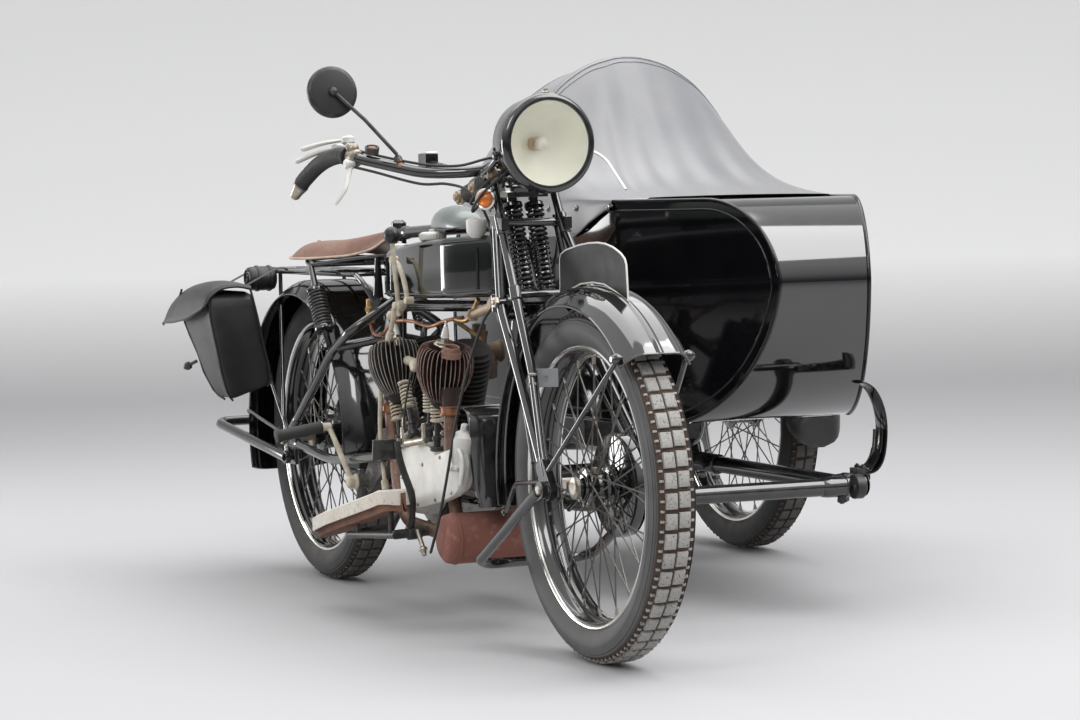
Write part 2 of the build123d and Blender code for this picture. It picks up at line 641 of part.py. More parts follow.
SPRING_COILS = [(0, 12), (10, 12), (10.5, 19), (176, 19), (176.5, 12), (192, 12)]
keep("fork_springs", *both(turned((42, -1234, 692), (42, -1176, 875), SPRING_COILS, 12)))
seat("fork_springs", "fork_girder", "fork_links")

# Handlebar with its grips, hand levers and mirror
GRIP_IN = (255, -811, 976)
GRIP_OUT = (300, -640, 904)
BAR = [(0, -1080, 950), (70, -1068, 950), (150, -1022, 948), (250, -830, 984), GRIP_OUT]
LEVER_PIVOT = (258, -846, 956)
LEVER_TIP = (286, -850, 884)
keep("handlebar", fused(*both(tube(BAR, 11, 8)), rod((0, -1044, 914), (0, -1084, 954), 17)))
keep("bar_fittings", both(fused(
    turned(GRIP_IN, GRIP_OUT, [(0, 19), (8, 19), (8.5, 16), (178, 16), (178.5, 19), (190, 17)], 12),
    tube([(250, -832, 980), LEVER_PIVOT, (272, -880, 920), LEVER_TIP], 5, 6),
)), fused(
    rod((-182, -961, 966), (-300, -888, 1104), 4, 6),
    rod((-300, -896, 1109), (-300, -884, 1107), 52, 20),
))
seat("handlebar", "fork_links", "bar_fittings")

# Headlamp on two arms that hang on the fork's top spindle
LAMP_Z = 990
LAMP_FACE = -1297
keep("headlamp", fused(
    turned((0, LAMP_FACE, LAMP_Z), (0, LAMP_FACE + 130, LAMP_Z), [(0, 96), (14, 96), (14.5, 90), (72, 90), (110, 64),
                                                                  (130, 30)], 28),
    *both(rod((80, -1244, LAMP_Z - 24), (80, FORK_TOP[0], FORK_TOP[1] + 4), 6, 8)),
    *both(disc(FORK_TOP, 14, 75, 84, 10)),
))
seat("headlamp", "fork_girder", "fork_links", "handlebar")
keep("headlamp_lens", turned((0, LAMP_FACE - 8, LAMP_Z), (0, LAMP_FACE, LAMP_Z), [(0, 50), (5, 74), (8, 84)], 28))

# Front mudguard, its stays and the blank plate that stands along its top
FRONT_GUARD = [(-70, 345), (-66, 360), (-44, 378), (44, 378), (66, 360), (70, 345), (67, 345), (63, 358), (43, 375),
               (-43, 375), (-63, 358), (-67, 345)]
keep("front_mudguard", fused(
    arch(FRONT, FRONT_GUARD, 44, 190, steps=12),
    *both(rod((66, -1262, 588), (104, -1424, 380), 4, 6)),
    *both(tube([(64, -1752, 590), (90, -1640, 486), (111, -1500, 388), (108, -1496, 348)], 4)),
))
keep("number_plate", slab([(-1640, 690), (-1636, 742), (-1560, 780), (-1486, 795), (-1410, 780), (-1334, 742),
                           (-1330, 676)], -1.5, 1.5))
seat("front_mudguard", "fork_girder", "fork_links")
seat("number_plate", "front_mudguard")

# Stands
FRONT_FOOT = (-1172, 160)
keep("front_stand", fused(
    *both(rod((128, -1500, TYRE_R), (124, *FRONT_FOOT), 8, 8)),
    rod((-130, *FRONT_FOOT), (130, *FRONT_FOOT), 8, 8),
    *both(disc((-1500, TYRE_R), 17, 116, 128, 12)),
) - round_rod((-140, -1500, TYRE_R), (140, -1500, TYRE_R), BORE_R))
pivot_room = [disc(STAND_PIVOT, 60, x, x + 28, 12) for x in (90, -118)]
keep("rear_stand", fused(
    tube([(-130, *STAND_PIVOT), (-168, 392, 352), (168, 392, 352), (130, *STAND_PIVOT)], 9),
    *both(disc(STAND_PIVOT, 15, 124, 136, 12)),
) - pivot_room[0] - pivot_room[1] - round_rod((-140, *STAND_PIVOT), (140, *STAND_PIVOT), STAND_PIN_R + RUN))

# Everything moves so that the origin is under the middle of the whole
whole = Compound(list(nodes.values())).bounding_box()
shift = Vector(-(whole.min.X + whole.max.X) / 2, -(whole.min.Y + whole.max.Y) / 2, -whole.min.Z)
for name, shape in nodes.items():
    export_step(Pos(shift) * shape, f"parts/{name}.step")
print(len(nodes), "nodes, moved by", tuple(round(value, 3) for value in shift))
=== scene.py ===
# %% [markdown]
# # A vintage motorcycle with a sports sidecar
# The motorcycle's frame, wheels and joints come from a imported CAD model. This lesson dresses that model:
# each cell builds one piece of the machine as a mesh, or one finish, and says why it was made that way.

import json
import random
from math import acos, atan2, cos, hypot, pi, radians, sin, sqrt

import bmesh
import bpy
from mathutils import Matrix, Vector


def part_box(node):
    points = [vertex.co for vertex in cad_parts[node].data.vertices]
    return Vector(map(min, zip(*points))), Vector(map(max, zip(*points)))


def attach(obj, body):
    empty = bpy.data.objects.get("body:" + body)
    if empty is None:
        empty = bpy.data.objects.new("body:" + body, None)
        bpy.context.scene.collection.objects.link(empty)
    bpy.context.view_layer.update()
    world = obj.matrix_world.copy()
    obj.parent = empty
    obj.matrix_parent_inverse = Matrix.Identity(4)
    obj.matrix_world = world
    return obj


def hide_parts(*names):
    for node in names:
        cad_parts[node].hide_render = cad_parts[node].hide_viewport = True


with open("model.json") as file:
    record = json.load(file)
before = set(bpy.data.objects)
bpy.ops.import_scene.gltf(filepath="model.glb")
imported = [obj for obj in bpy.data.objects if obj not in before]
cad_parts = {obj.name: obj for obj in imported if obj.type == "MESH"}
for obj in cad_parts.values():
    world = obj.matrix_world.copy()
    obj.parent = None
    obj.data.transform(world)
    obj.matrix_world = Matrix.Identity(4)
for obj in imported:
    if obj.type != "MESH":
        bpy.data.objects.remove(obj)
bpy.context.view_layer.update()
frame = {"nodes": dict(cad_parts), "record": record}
tyre_low, tyre_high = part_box("rear_tyre")
ORIGIN = Vector(((tyre_low.x + tyre_high.x) / 2, (tyre_low.y + tyre_high.y) / 2, 0))
MM = 0.001

# %% [markdown]
# ## Where things are
# All places below are in millimetres from the ground under the rear axle: forward is -Y, the machine's
# right is -X and the sidecar is on the +X side. The main places are read from the frame or repeat the
# CAD's own, so that a piece built here sits where the CAD piece is.

# %% Main places
TYRE_R = 335
FRONT = Vector((0, -1500, TYRE_R))
REAR = Vector((0, 0, TYRE_R))
SIDE = Vector((1066, -27, TYRE_R))
RAKE = radians(29)
HEAD = Vector((0, -1120, 780))
CRANK = Vector((0, -765, 312))
BODY_X = 662
BODY_TOP = 870
BODY_FLOOR = 392


def place(point):
    """A layout point in millimetres as a point in the scene."""
    return ORIGIN + Vector(point) * MM


def steer_point(z, x=0):
    """A point on the steering axis at height z."""
    return Vector((x, HEAD.y + (z - HEAD.z) * sin(RAKE) / cos(RAKE), z))


print("front axle at", [round(v, 4) for v in place(FRONT)], "head top at",
    [round(v) for v in steer_point(905)])


# %% [markdown]
# ## The camera
# The photograph was taken from the machine's front right, a little above the lamp's height, with a long
# lens. The place and angles were solved from the outlines of the three wheels.

# %% Camera
EYE = Vector((-2363.02, -6655.92, 898.2))
YAW, PITCH, ROLL = -0.410348, -0.0564313, -0.0250146
camera_data = bpy.data.cameras.new("photo_camera")
camera_data.lens = 100
camera_data.sensor_width = 36
camera = bpy.data.objects.new("photo_camera", camera_data)
bpy.context.scene.collection.objects.link(camera)
forward = Vector((-sin(YAW) * cos(PITCH), cos(YAW) * cos(PITCH), sin(PITCH)))
level_right = Vector((cos(YAW), sin(YAW), 0))
level_up = level_right.cross(forward)
camera_x = cos(ROLL) * level_right + sin(ROLL) * level_up
camera_y = -sin(ROLL) * level_right + cos(ROLL) * level_up
camera.matrix_world = Matrix((camera_x, camera_y, -forward)).transposed().to_4x4()
camera.location = place(EYE)
bpy.context.scene.camera = camera
bpy.context.scene.view_settings.view_transform = "Standard"
print("camera at", [round(v, 3) for v in camera.location])

# %% [markdown]
# ## Shapes from rings
# Nearly all metal pieces here are rings of points joined by faces: a turned piece has round rings along
# its axle, a tube has them along its route, and a mudguard has its cross-section carried round the wheel.
# A shape is a pair of lists, points and faces, so shapes can be added together before one mesh is made
# from them.


# %% Ring shapes
def skinned(rings, looped=False, caps=True, open_section=False):
    """Joins rings of equally many points with four-cornered faces."""
    count = len(rings[0])
    points = [Vector(p) for ring in rings for p in ring]
    faces = []
    turns = len(rings) if looped else len(rings) - 1
    for k in range(turns):
        here, there = k * count, (k + 1) % len(rings) * count
        for i in range(count - 1 if open_section else count):
            j = (i + 1) % count
            faces.append((here + i, here + j, there + j, there + i))
    if caps and not looped and not open_section:
        faces += [tuple(reversed(range(count))), tuple(range(len(points) - count, len(points)))]
    return points, faces


def added(*shapes):
    """Several shapes as one."""
    points, faces = [], []
    for more_points, more_faces in shapes:
        base = len(points)
        points += more_points
        faces += [tuple(i + base for i in face) for face in more_faces]
    return points, faces


def mirrored(shape):
    """The shape on the machine's other side."""
    points, faces = shape
    return [Vector((-p.x, p.y, p.z)) for p in points], [tuple(reversed(face)) for face in faces]


def both(*shapes):
    """Shapes made for one side of the machine, and their mirror images on the other."""
    one_side = added(*shapes)
    return added(one_side, mirrored(one_side))


def across(direction):
    """Two unit vectors square to a direction."""
    d = Vector(direction).normalized()
    side = d.cross(Vector((0, 0, 1)) if abs(d.z) < 0.9 else Vector((0, 1, 0))).normalized()
    return side, d.cross(side)


def turned(start, end, profile, sides=32, hollow=False):
    """A turned piece from start towards end: profile rows are (distance, radius)."""
    start, end = Vector(start), Vector(end)
    d = (end - start).normalized()
    u, v = across(d)
    rings = []
    for distance, radius in profile:
        centre = start + d * distance
        rings.append([
            centre + (u * cos(2 * pi * i / sides) + v * sin(2 * pi * i / sides)) * max(radius, 0.01)
            for i in range(sides)
        ])
    return skinned(rings, looped=hollow)


def bar(start, end, radius, end_radius=None, sides=16):
    """A round bar with softened ends."""
    length = (Vector(end) - Vector(start)).length
    tip = radius if end_radius is None else end_radius
    soft = min(radius, tip, length / 2) * 0.2
    return turned(start, end, [(0, radius - soft), (soft, radius), (length - soft, tip),
        (length, tip - soft)], sides)


def smooth_route(points, steps=6, closed=False):
    """A curved route through the points."""
    points = [Vector(p) for p in points]
    if closed:
        padded = [points[-1], *points, points[0], points[1]]
    else:
        padded = [2 * points[0] - points[1], *points, 2 * points[-1] - points[-2]]
    route = []
    for a, b, c, d in zip(padded, padded[1:], padded[2:], padded[3:]):
        for i in range(steps):
            t = i / steps
            route.append(0.5 * (2 * b + (c - a) * t + (2 * a - 5 * b + 4 * c - d) * t * t + (
                3 * b - 3 * c + d - a) * t ** 3))
    if not closed:
        route.append(points[-1])
    return route


def bent_route(points, bend, steps=5):
    """Straight runs joined by bends that start this far from each corner."""
    points = [Vector(p) for p in points]
    route = [points[0]]
    for before, corner, after in zip(points, points[1:], points[2:]):
        reach = min(bend, (before - corner).length * 0.48, (after - corner).length * 0.48)
        a = corner + (before - corner).normalized() * reach
        b = corner + (after - corner).normalized() * reach
        for i in range(steps + 1):
            t = i / steps
            route.append(a * (1 - t) ** 2 + corner * 2 * t * (1 - t) + b * t * t)
    route.append(points[-1])
    return route


def pipe(route, radius, sides=14, closed=False, flat=1.0):
    """A tube along a route. radius may be one number or one for each point; flat squeezes the section."""
    route = [Vector(p) for p in route]
    radii = radius if isinstance(radius, (list, tuple)) else [radius] * len(route)
    rings = []
    side = None
    for i, point in enumerate(route):
        before = route[i - 1] if i or closed else route[i]
        after = route[(i + 1) % len(route)] if i + 1 < len(route) or closed else route[i]
        d = (after - before).normalized()
        side = across(d)[0] if side is None else (side - d * side.dot(d)).normalized()
        up = d.cross(side)
        rings.append([
            point + (side * cos(2 * pi * k / sides) + up * sin(2 * pi * k / sides) * flat) * radii[i]
            for k in range(sides)
        ])
    return skinned(rings, looped=closed)


def coil(start, end, radius, wire, turns, steps=16, sides=8):
    """A spring between two points."""
    start, end = Vector(start), Vector(end)
    u, v = across(end - start)
    route = []
    for i in range(turns * steps + 1):
        angle = 2 * pi * i / steps
        route.append(start.lerp(end, i / (turns * steps)) + (u * cos(angle) + v * sin(angle)) * radius)
    return pipe(route, wire, sides)


def slab(outline, x_from, x_to):
    """A plate cut to a (y, z) outline, across the machine."""
    return skinned([[(x, y, z) for y, z in outline] for x in (x_from, x_to)])


def block(x_low, x_high, y_low, y_high, heights):
    """An upright box, or a stack of equal sections at these heights."""
    corners = ((x_low, y_low), (x_high, y_low), (x_high, y_high), (x_low, y_high))
    return skinned([[(x, y, z) for x, y in corners] for z in heights])


def sheet_slab(corners, thickness):
    """A flat plate of this thickness from its corners in space."""
    corners = [Vector(c) for c in corners]
    normal = (corners[1] - corners[0]).cross(corners[2] - corners[0]).normalized() * thickness
    return skinned([corners, [c + normal for c in corners]])


def oval(a, b, radius_a, radius_b, sides=40):
    """The (y, z) outline round two circles and the tangents between them."""
    run = Vector((b[0] - a[0], b[1] - a[1]))
    heading = atan2(run.y, run.x)
    lean = acos((radius_a - radius_b) / run.length)
    outline = []
    for centre, radius, first, last in ((a, radius_a, lean, 2 * pi - lean), (b, radius_b, -lean, lean)):
        steps = max(3, round(sides * (last - first) / (2 * pi)))
        for i in range(steps + 1):
            angle = heading + first + (last - first) * i / steps
            outline.append((centre[0] + radius * cos(angle), centre[1] + radius * sin(angle)))
    return outline


def hexagon(start, end, radius, height=5):
    """A hexagon nut or bolt head, and the rounded end of its stud, pointing from start towards end."""
    start = Vector(start)
    d = (Vector(end) - start).normalized()
    head = turned(start, start + d, [(0, radius), (height * 0.8, radius), (height, radius * 0.85)], 6)
    stud = turned(start, start + d, [(0, radius * 0.5), (height + 2, radius * 0.5),
        (height + 3, radius * 0.3)], 10)
    return added(head, stud)


def beside_axle(centre, x, r, angle):
    """The point at this radius and angle round an axle: 0 is forward and a quarter turn is up."""
    return centre[0] + x, centre[1] - r * cos(angle), centre[2] + r * sin(angle)


def carried(centre, section, from_angle, to_angle, steps, looped=False):
    """An (x, radius) section carried round an axle: 0 is forward, 90 is up, 180 is back."""
    rings = []
    for i in range(steps if looped else steps + 1):
        turn = radians(from_angle + (to_angle - from_angle) * i / steps)
        rings.append([beside_axle(centre, x, r, turn) for x, r in section])
    return skinned(rings, looped=looped)


print("a bar is made of", len(bar((0, 0, 0), (0, 100, 0), 10)[0]), "points")

# %% [markdown]
# A shape becomes a piece of the object when it gets a mesh, a finish and the body that it moves with.
# Small bevels catch the light along edges, as the soft edges of real castings and pressings do.


# %% Making a piece
WELD_DISTANCE = 0.02
SHARPEST_BEVEL = 35
triangle_count = {}


def piece(name, shape, finish, body="machine", replaces=None, bevel=0, smooth=38, subdivide=0):
    """Makes the mesh of one shape, or of a list of shapes, in metres and hangs it on a body."""
    points, faces = added(*shape) if isinstance(shape, list) else shape
    mesh = bpy.data.meshes.new(name)
    mesh.from_pydata([place(p) for p in points], [], faces)
    made = bmesh.new()
    made.from_mesh(mesh)
    bmesh.ops.remove_doubles(made, verts=made.verts, dist=WELD_DISTANCE * MM)
    bmesh.ops.recalc_face_normals(made, faces=made.faces)
    made.to_mesh(mesh)
    made.free()
    mesh.polygons.foreach_set("use_smooth", [True] * len(mesh.polygons))
    mesh.set_sharp_from_angle(angle=radians(smooth))
    mesh.materials.append(finish)
    obj = bpy.data.objects.new(name, mesh)
    bpy.context.scene.collection.objects.link(obj)
    if bevel:
        soft = obj.modifiers.new("soft_edges", "BEVEL")
        soft.width = bevel * MM
        soft.segments = 2
        soft.limit_method = "ANGLE"
        soft.angle_limit = radians(SHARPEST_BEVEL)
        soft.harden_normals = True
    if subdivide:
        finer = obj.modifiers.new("finer", "SUBSURF")
        finer.levels = finer.render_levels = subdivide
    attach(obj, body)
    if replaces:
        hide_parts(replaces)
    triangle_count[name] = len(mesh.polygons) * 2 * (4 ** subdivide)
    print(name, "on", body, "has", len(mesh.polygons), "faces")
    return obj


# %% [markdown]
# ## Effects that finishes share
# Old machines are never one flat colour. Three effects return in most of the finishes: soft patches of
# dirt and fading, a rub along outside edges, and dust that settles on what faces up. Each is one node
# group with its own inputs, so every finish can have its own amount.


# %% Node group helpers
def new_group(name, inputs, outputs):
    """A shader node group with these float sockets: rows of (name, default) and names."""
    tree = bpy.data.node_groups.new(name, "ShaderNodeTree")
    for label, default in inputs:
        socket = tree.interface.new_socket(label, in_out="INPUT", socket_type="NodeSocketFloat")
        socket.default_value = default
    for label in outputs:
        tree.interface.new_socket(label, in_out="OUTPUT", socket_type="NodeSocketFloat")
    return tree, tree.nodes.new("NodeGroupInput"), tree.nodes.new("NodeGroupOutput")


def node(tree, kind, links=(), **settings):
    """Adds a node, sets its properties and input values, and links rows of (from socket, to input)."""
    made = tree.nodes.new(kind)
    for key, value in settings.items():
        if hasattr(made, key):
            setattr(made, key, value)
        else:
            made.inputs[key.replace("_", " ")].default_value = value
    for source, target in links:
        tree.links.new(source, made.inputs[target])
    return made


def sums(tree, operation, a, b, clamp=False):
    """A maths node of two sockets or numbers."""
    made = node(tree, "ShaderNodeMath", operation=operation, use_clamp=clamp)
    for i, value in enumerate((a, b)):
        if isinstance(value, (int, float)):
            made.inputs[i].default_value = value
        else:
            tree.links.new(value, made.inputs[i])
    return made.outputs[0]


def stretch(tree, value, low, high):
    """Maps the values between low and high to 0 to 1, held at the ends."""
    made = node(tree, "ShaderNodeMapRange", [(value, "Value")], From_Min=low, From_Max=high)
    return made.outputs["Result"]


def object_noise(tree, links=(), **settings):
    """Soft noise fixed to the object's own space, so it moves with the piece."""
    coords = node(tree, "ShaderNodeTexCoord")
    links = [(coords.outputs["Object"], "Vector"), *links]
    return node(tree, "ShaderNodeTexNoise", links, **settings).outputs["Fac"]


# %% [markdown]
# Noise that is fixed to each object gives the patches and small specks. The rub uses the pointiness of an
# edge, broken up by noise, and the dust uses how far the surface faces up.

# %% Patches, rub and dust
patches, patches_in, patches_out = new_group("weather_patches", [("Scale", 9.0), ("Contrast", 0.5)],
    ["Patches", "Specks"])
size = patches_in.outputs["Scale"]
broad = object_noise(patches, [(size, "Scale")], Detail=5, Roughness=0.62)
fine = object_noise(patches, [(sums(patches, "MULTIPLY", size, 11.0), "Scale")], Detail=3)
gap = sums(patches, "MULTIPLY", sums(patches, "SUBTRACT", 1.0, patches_in.outputs["Contrast"]), 0.25)
spread = node(patches, "ShaderNodeMapRange", [
    (broad, "Value"),
    (sums(patches, "SUBTRACT", 0.5, gap), "From Min"),
    (sums(patches, "ADD", 0.5, gap), "From Max"),
])
patches.links.new(spread.outputs["Result"], patches_out.inputs["Patches"])
patches.links.new(stretch(patches, fine, 0.56, 0.72), patches_out.inputs["Specks"])

edge_rub, rub_in, rub_out = new_group("edge_rub", [("Reach", 0.5)], ["Rub"])
edges = stretch(edge_rub, node(edge_rub, "ShaderNodeNewGeometry").outputs["Pointiness"], 0.515, 0.56)
ragged = sums(edge_rub, "MULTIPLY", edges, stretch(edge_rub, object_noise(edge_rub, Scale=60), 0.38, 0.6))
rubbed = sums(edge_rub, "MULTIPLY", ragged, rub_in.outputs["Reach"], clamp=True)
edge_rub.links.new(rubbed, rub_out.inputs["Rub"])

dust, dust_in, dust_out = new_group("settled_dust", [("Amount", 0.3)], ["Dust"])
facing = node(dust, "ShaderNodeNewGeometry")
split = node(dust, "ShaderNodeSeparateXYZ", [(facing.outputs["Normal"], "Vector")])
upward = stretch(dust, split.outputs["Z"], 0.1, 0.95)
uneven = stretch(dust, object_noise(dust, Scale=35, Detail=6), 0.3, 0.75)
settled = sums(dust, "MULTIPLY", upward, uneven)
settled = sums(dust, "MULTIPLY", settled, dust_in.outputs["Amount"], clamp=True)
dust.links.new(settled, dust_out.inputs["Dust"])
print("groups", [g.name for g in bpy.data.node_groups])

# %% [markdown]
# ## Finishes
# Each finish starts from a base colour, mixes in a second colour where the patches are, then the colour
# of bare metal or worn edge where the rub is, and last the pale dust. The shader stays in the material
# itself, and what is the same all over, such as the coat or the sheen, is set on the shader.

# %% The general finish
DUST_COLOUR = (0.42, 0.38, 0.32, 1)
DUST_ROUGHNESS = 0.9


def finish(name, colour, roughness, metallic=0.0, second=None, patch_scale=9.0, contrast=0.4,
        second_rough=None, worn=None, reach=0.0, dusty=0.0, bump=0.0, bump_scale=300.0, bump_distance=0.4,
        grain=None, specks=None, **shader_values):
    """A finish with patches, rubbed edges, dust and a fine bump. Colours are rows of three numbers."""
    material = bpy.data.materials.new(name)
    material.use_nodes = True
    tree = material.node_tree
    shader = tree.nodes["Principled BSDF"]
    shader.inputs["Roughness"].default_value = roughness
    shader.inputs["Metallic"].default_value = metallic
    shader.inputs["Base Color"].default_value = (*colour, 1)
    for label, value in shader_values.items():
        shader.inputs[label.replace("_", " ").title().replace("Ior", "IOR")].default_value = value
    weather = node(tree, "ShaderNodeGroup", node_tree=patches, Scale=patch_scale, Contrast=contrast)

    def mixed(amount, first, then):
        """Mixes two colours or two numbers; the first may be a socket."""
        blend = node(tree, "ShaderNodeMix", data_type="RGBA" if isinstance(then, tuple) else "FLOAT")
        tree.links.new(amount, blend.inputs["Factor"])
        if isinstance(first, (tuple, int, float)):
            blend.inputs["A"].default_value = first
        else:
            tree.links.new(first, blend.inputs["A"])
        blend.inputs["B"].default_value = then
        return blend.outputs["Result"]

    colours = mixed(weather.outputs["Patches"], (*colour, 1), (*(second or colour), 1))
    patch_rough = roughness * 1.25 if second_rough is None else second_rough
    rough = mixed(weather.outputs["Patches"], roughness, patch_rough)
    if specks:
        colours = mixed(weather.outputs["Specks"], colours, (*specks, 1))
    if worn:
        rub = node(tree, "ShaderNodeGroup", node_tree=edge_rub, Reach=reach)
        colours = mixed(rub.outputs["Rub"], colours, (*worn, 1))
        metal = mixed(rub.outputs["Rub"], metallic, 0.0)
        tree.links.new(metal, shader.inputs["Metallic"])
    if dusty:
        fall = node(tree, "ShaderNodeGroup", node_tree=dust, Amount=dusty)
        colours = mixed(fall.outputs["Dust"], colours, DUST_COLOUR)
        rough = mixed(fall.outputs["Dust"], rough, DUST_ROUGHNESS)
    tree.links.new(colours, shader.inputs["Base Color"])
    tree.links.new(rough, shader.inputs["Roughness"])
    if bump:
        if grain:
            height = node(tree, "ShaderNodeGroup", node_tree=grain).outputs[0]
        else:
            height = object_noise(tree, Scale=bump_scale, Detail=4)
        relief = node(tree, "ShaderNodeBump", [(height, "Height")], Strength=bump,
            Distance=bump_distance * MM)
        tree.links.new(relief.outputs["Normal"], shader.inputs["Normal"])
    return material


# %% [markdown]
# Leather has pebbles with creases between them, and coated cloth has a plain weave of two sets of
# threads. Both are heights that change over the surface, made once as groups.

# %% Hide grain and weave
hide_grain, _, hide_out = new_group("hide_grain", [], ["Height"])
hide_coords = node(hide_grain, "ShaderNodeTexCoord")
pebbles = node(hide_grain, "ShaderNodeTexVoronoi", [(hide_coords.outputs["Object"], "Vector")],
    feature="DISTANCE_TO_EDGE", Scale=420)
pebble_height = sums(hide_grain, "MULTIPLY", stretch(hide_grain, pebbles.outputs["Distance"], 0, 0.25), 0.5)
hide_height = sums(hide_grain, "ADD", pebble_height, object_noise(hide_grain, Scale=45, Detail=8))
hide_grain.links.new(hide_height, hide_out.inputs["Height"])

cloth_weave, _, weave_out = new_group("cloth_weave", [], ["Height"])
weave_coords = node(cloth_weave, "ShaderNodeTexCoord")
threads = []
for direction in ("X", "Z"):
    wave = node(cloth_weave, "ShaderNodeTexWave", [(weave_coords.outputs["Object"], "Vector")],
        bands_direction=direction, Scale=260, Distortion=0.6)
    threads.append(wave.outputs["Fac"])
weave_height = sums(cloth_weave, "MULTIPLY", sums(cloth_weave, "ADD", *threads), 0.08)
crumple_height = sums(cloth_weave, "MULTIPLY", object_noise(cloth_weave, Scale=14, Detail=6), 6.0)
cloth_height = sums(cloth_weave, "ADD", weave_height, crumple_height)
cloth_weave.links.new(cloth_height, weave_out.inputs["Height"])
print("height groups", hide_grain.name, cloth_weave.name)

# %% [markdown]
# Each row below is one finish, named after what it is on the real machine: gloss enamel, worn nickel,
# cast metal, baked pipes, rubber, hide and cloth. Only a few values set one apart from another, so they
# stand side by side and are easy to compare.

# %% All finishes of this machine
enamel = finish("black_enamel", (0.005, 0.005, 0.0055), 0.08, second=(0.008, 0.008, 0.008),
    second_rough=0.12, dusty=0.02, worn=(0.12, 0.12, 0.12), reach=0.12, bump=0.015, bump_scale=18,
    ior=1.7, coat_weight=0.5, coat_roughness=0.03)
satin_black = finish("satin_black", (0.01, 0.01, 0.01), 0.34, second=(0.02, 0.019, 0.018), dusty=0.08,
    worn=(0.14, 0.13, 0.12), reach=0.3, bump=0.12, bump_scale=180)
old_nickel = finish("old_nickel", (0.52, 0.49, 0.43), 0.34, metallic=1.0, second=(0.36, 0.31, 0.25),
    patch_scale=30, specks=(0.22, 0.17, 0.12), bump=0.1, bump_scale=260)
bright_nickel = finish("bright_nickel", (0.78, 0.77, 0.74), 0.16, metallic=1.0, second=(0.6, 0.58, 0.54))
cast_alloy = finish("cast_alloy", (0.52, 0.51, 0.49), 0.5, metallic=0.75, second=(0.33, 0.31, 0.28),
    patch_scale=14, contrast=0.2, specks=(0.2, 0.17, 0.14), dusty=0.25, bump=0.25, bump_scale=420)
brass = finish("aged_brass", (0.52, 0.34, 0.15), 0.38, metallic=0.9, second=(0.26, 0.16, 0.09),
    patch_scale=40, bump=0.1)
copper = finish("burnt_copper", (0.42, 0.19, 0.1), 0.45, metallic=0.8, second=(0.2, 0.1, 0.07),
    patch_scale=30, bump=0.1)
rusty_iron = finish("rusty_iron", (0.028, 0.012, 0.010), 0.62, second=(0.02, 0.012, 0.010),
    patch_scale=24, contrast=0.3, specks=(0.06, 0.025, 0.02), bump=0.3, bump_scale=500)
sooty_iron = finish("sooty_iron", (0.016, 0.015, 0.015), 0.6, second=(0.035, 0.028, 0.024),
    patch_scale=20, specks=(0.04, 0.03, 0.026), bump=0.3, bump_scale=500)
baked_steel = finish("baked_steel", (0.25, 0.092, 0.068), 0.66, second=(0.175, 0.066, 0.05),
    patch_scale=6, contrast=0.1, specks=(0.27, 0.13, 0.1), dusty=0.1, bump=0.2, bump_scale=260)
tyre_rubber = finish("tyre_rubber", (0.035, 0.035, 0.037), 0.78, second=(0.075, 0.073, 0.072),
    patch_scale=12, contrast=0.1, dusty=0.3, bump=0.2, bump_scale=350)
tread_rubber = finish("tread_rubber", (0.30, 0.29, 0.275), 0.85, second=(0.38, 0.37, 0.35),
    patch_scale=26, contrast=0.2, specks=(0.07, 0.06, 0.05), bump=0.4, bump_scale=420)
grip_rubber = finish("grip_rubber", (0.014, 0.014, 0.014), 0.55, second=(0.03, 0.03, 0.03), dusty=0.1,
    bump=0.2)
# A painted highlight: the pale colour of the line along the saddle skirt's lower edge, where the lit skirt
# catches the light.
painted_skirt_highlight = finish("painted_skirt_highlight", (0.5, 0.38, 0.3), 0.5, second=(0.38, 0.26, 0.2), patch_scale=30)
tan_leather = finish("tan_leather", (0.15, 0.07, 0.045), 0.34, second=(0.25, 0.14, 0.1), patch_scale=16,
    contrast=0.15, second_rough=0.34, specks=(0.11, 0.055, 0.03), grain=hide_grain, bump=0.35,
    bump_distance=0.5)
black_leather = finish("black_leather", (0.01, 0.01, 0.011), 0.4, second=(0.018, 0.018, 0.019),
    patch_scale=12, dusty=0.12, grain=hide_grain, bump=0.4, bump_distance=0.5)
seat_leather = finish("seat_leather", (0.10, 0.05, 0.03), 0.5, second=(0.06, 0.03, 0.02),
    grain=hide_grain, bump=0.35, bump_distance=0.5)
# The hood is black coated cloth; its mid grey base colour is a painted reflection of bright sky on the cloth.
hood_cloth = finish("hood_cloth", (0.17, 0.172, 0.182), 0.38, second=(0.2, 0.2, 0.21), patch_scale=5,
    second_rough=0.42, grain=cloth_weave, bump=0.25, bump_distance=0.5, sheen_weight=0.15,
    sheen_roughness=0.4, coat_weight=0.25, coat_roughness=0.3)
plate_black = finish("plate_black", (0.008, 0.008, 0.008), 0.5, dusty=0.02, second=(0.012, 0.012, 0.012),
    specular_ior_level=0.25)
small_plate_grey = finish("small_plate_grey", (0.34, 0.35, 0.37), 0.2, second=(0.4, 0.41, 0.43),
    metallic=0.3)
pale_tin = finish("pale_tin", (0.2, 0.24, 0.22), 0.3, second=(0.13, 0.15, 0.14), coat_weight=0.4)
lamp_silver = finish("lamp_silver", (0.97, 0.97, 0.9), 0.35, metallic=0.1, second=(0.93, 0.92, 0.8),
    patch_scale=18)
tank_enamel = finish("tank_enamel", (0.005, 0.007, 0.005), 0.06, second=(0.007, 0.009, 0.006),
    second_rough=0.08, dusty=0.01, bump=0.02, bump_scale=9, ior=1.5, coat_weight=0.4, coat_roughness=0.03)
rib_cap_brown = finish("rib_cap_brown", (0.3, 0.17, 0.12), 0.55, second=(0.14, 0.075, 0.055),
    patch_scale=20)
soot_black = finish("soot_black", (0.008, 0.0075, 0.007), 0.75, second=(0.016, 0.013, 0.011),
    patch_scale=24, bump=0.2)
dark_bronze = finish("dark_bronze", (0.1, 0.07, 0.045), 0.5, metallic=0.6, second=(0.05, 0.035, 0.025),
    patch_scale=30)
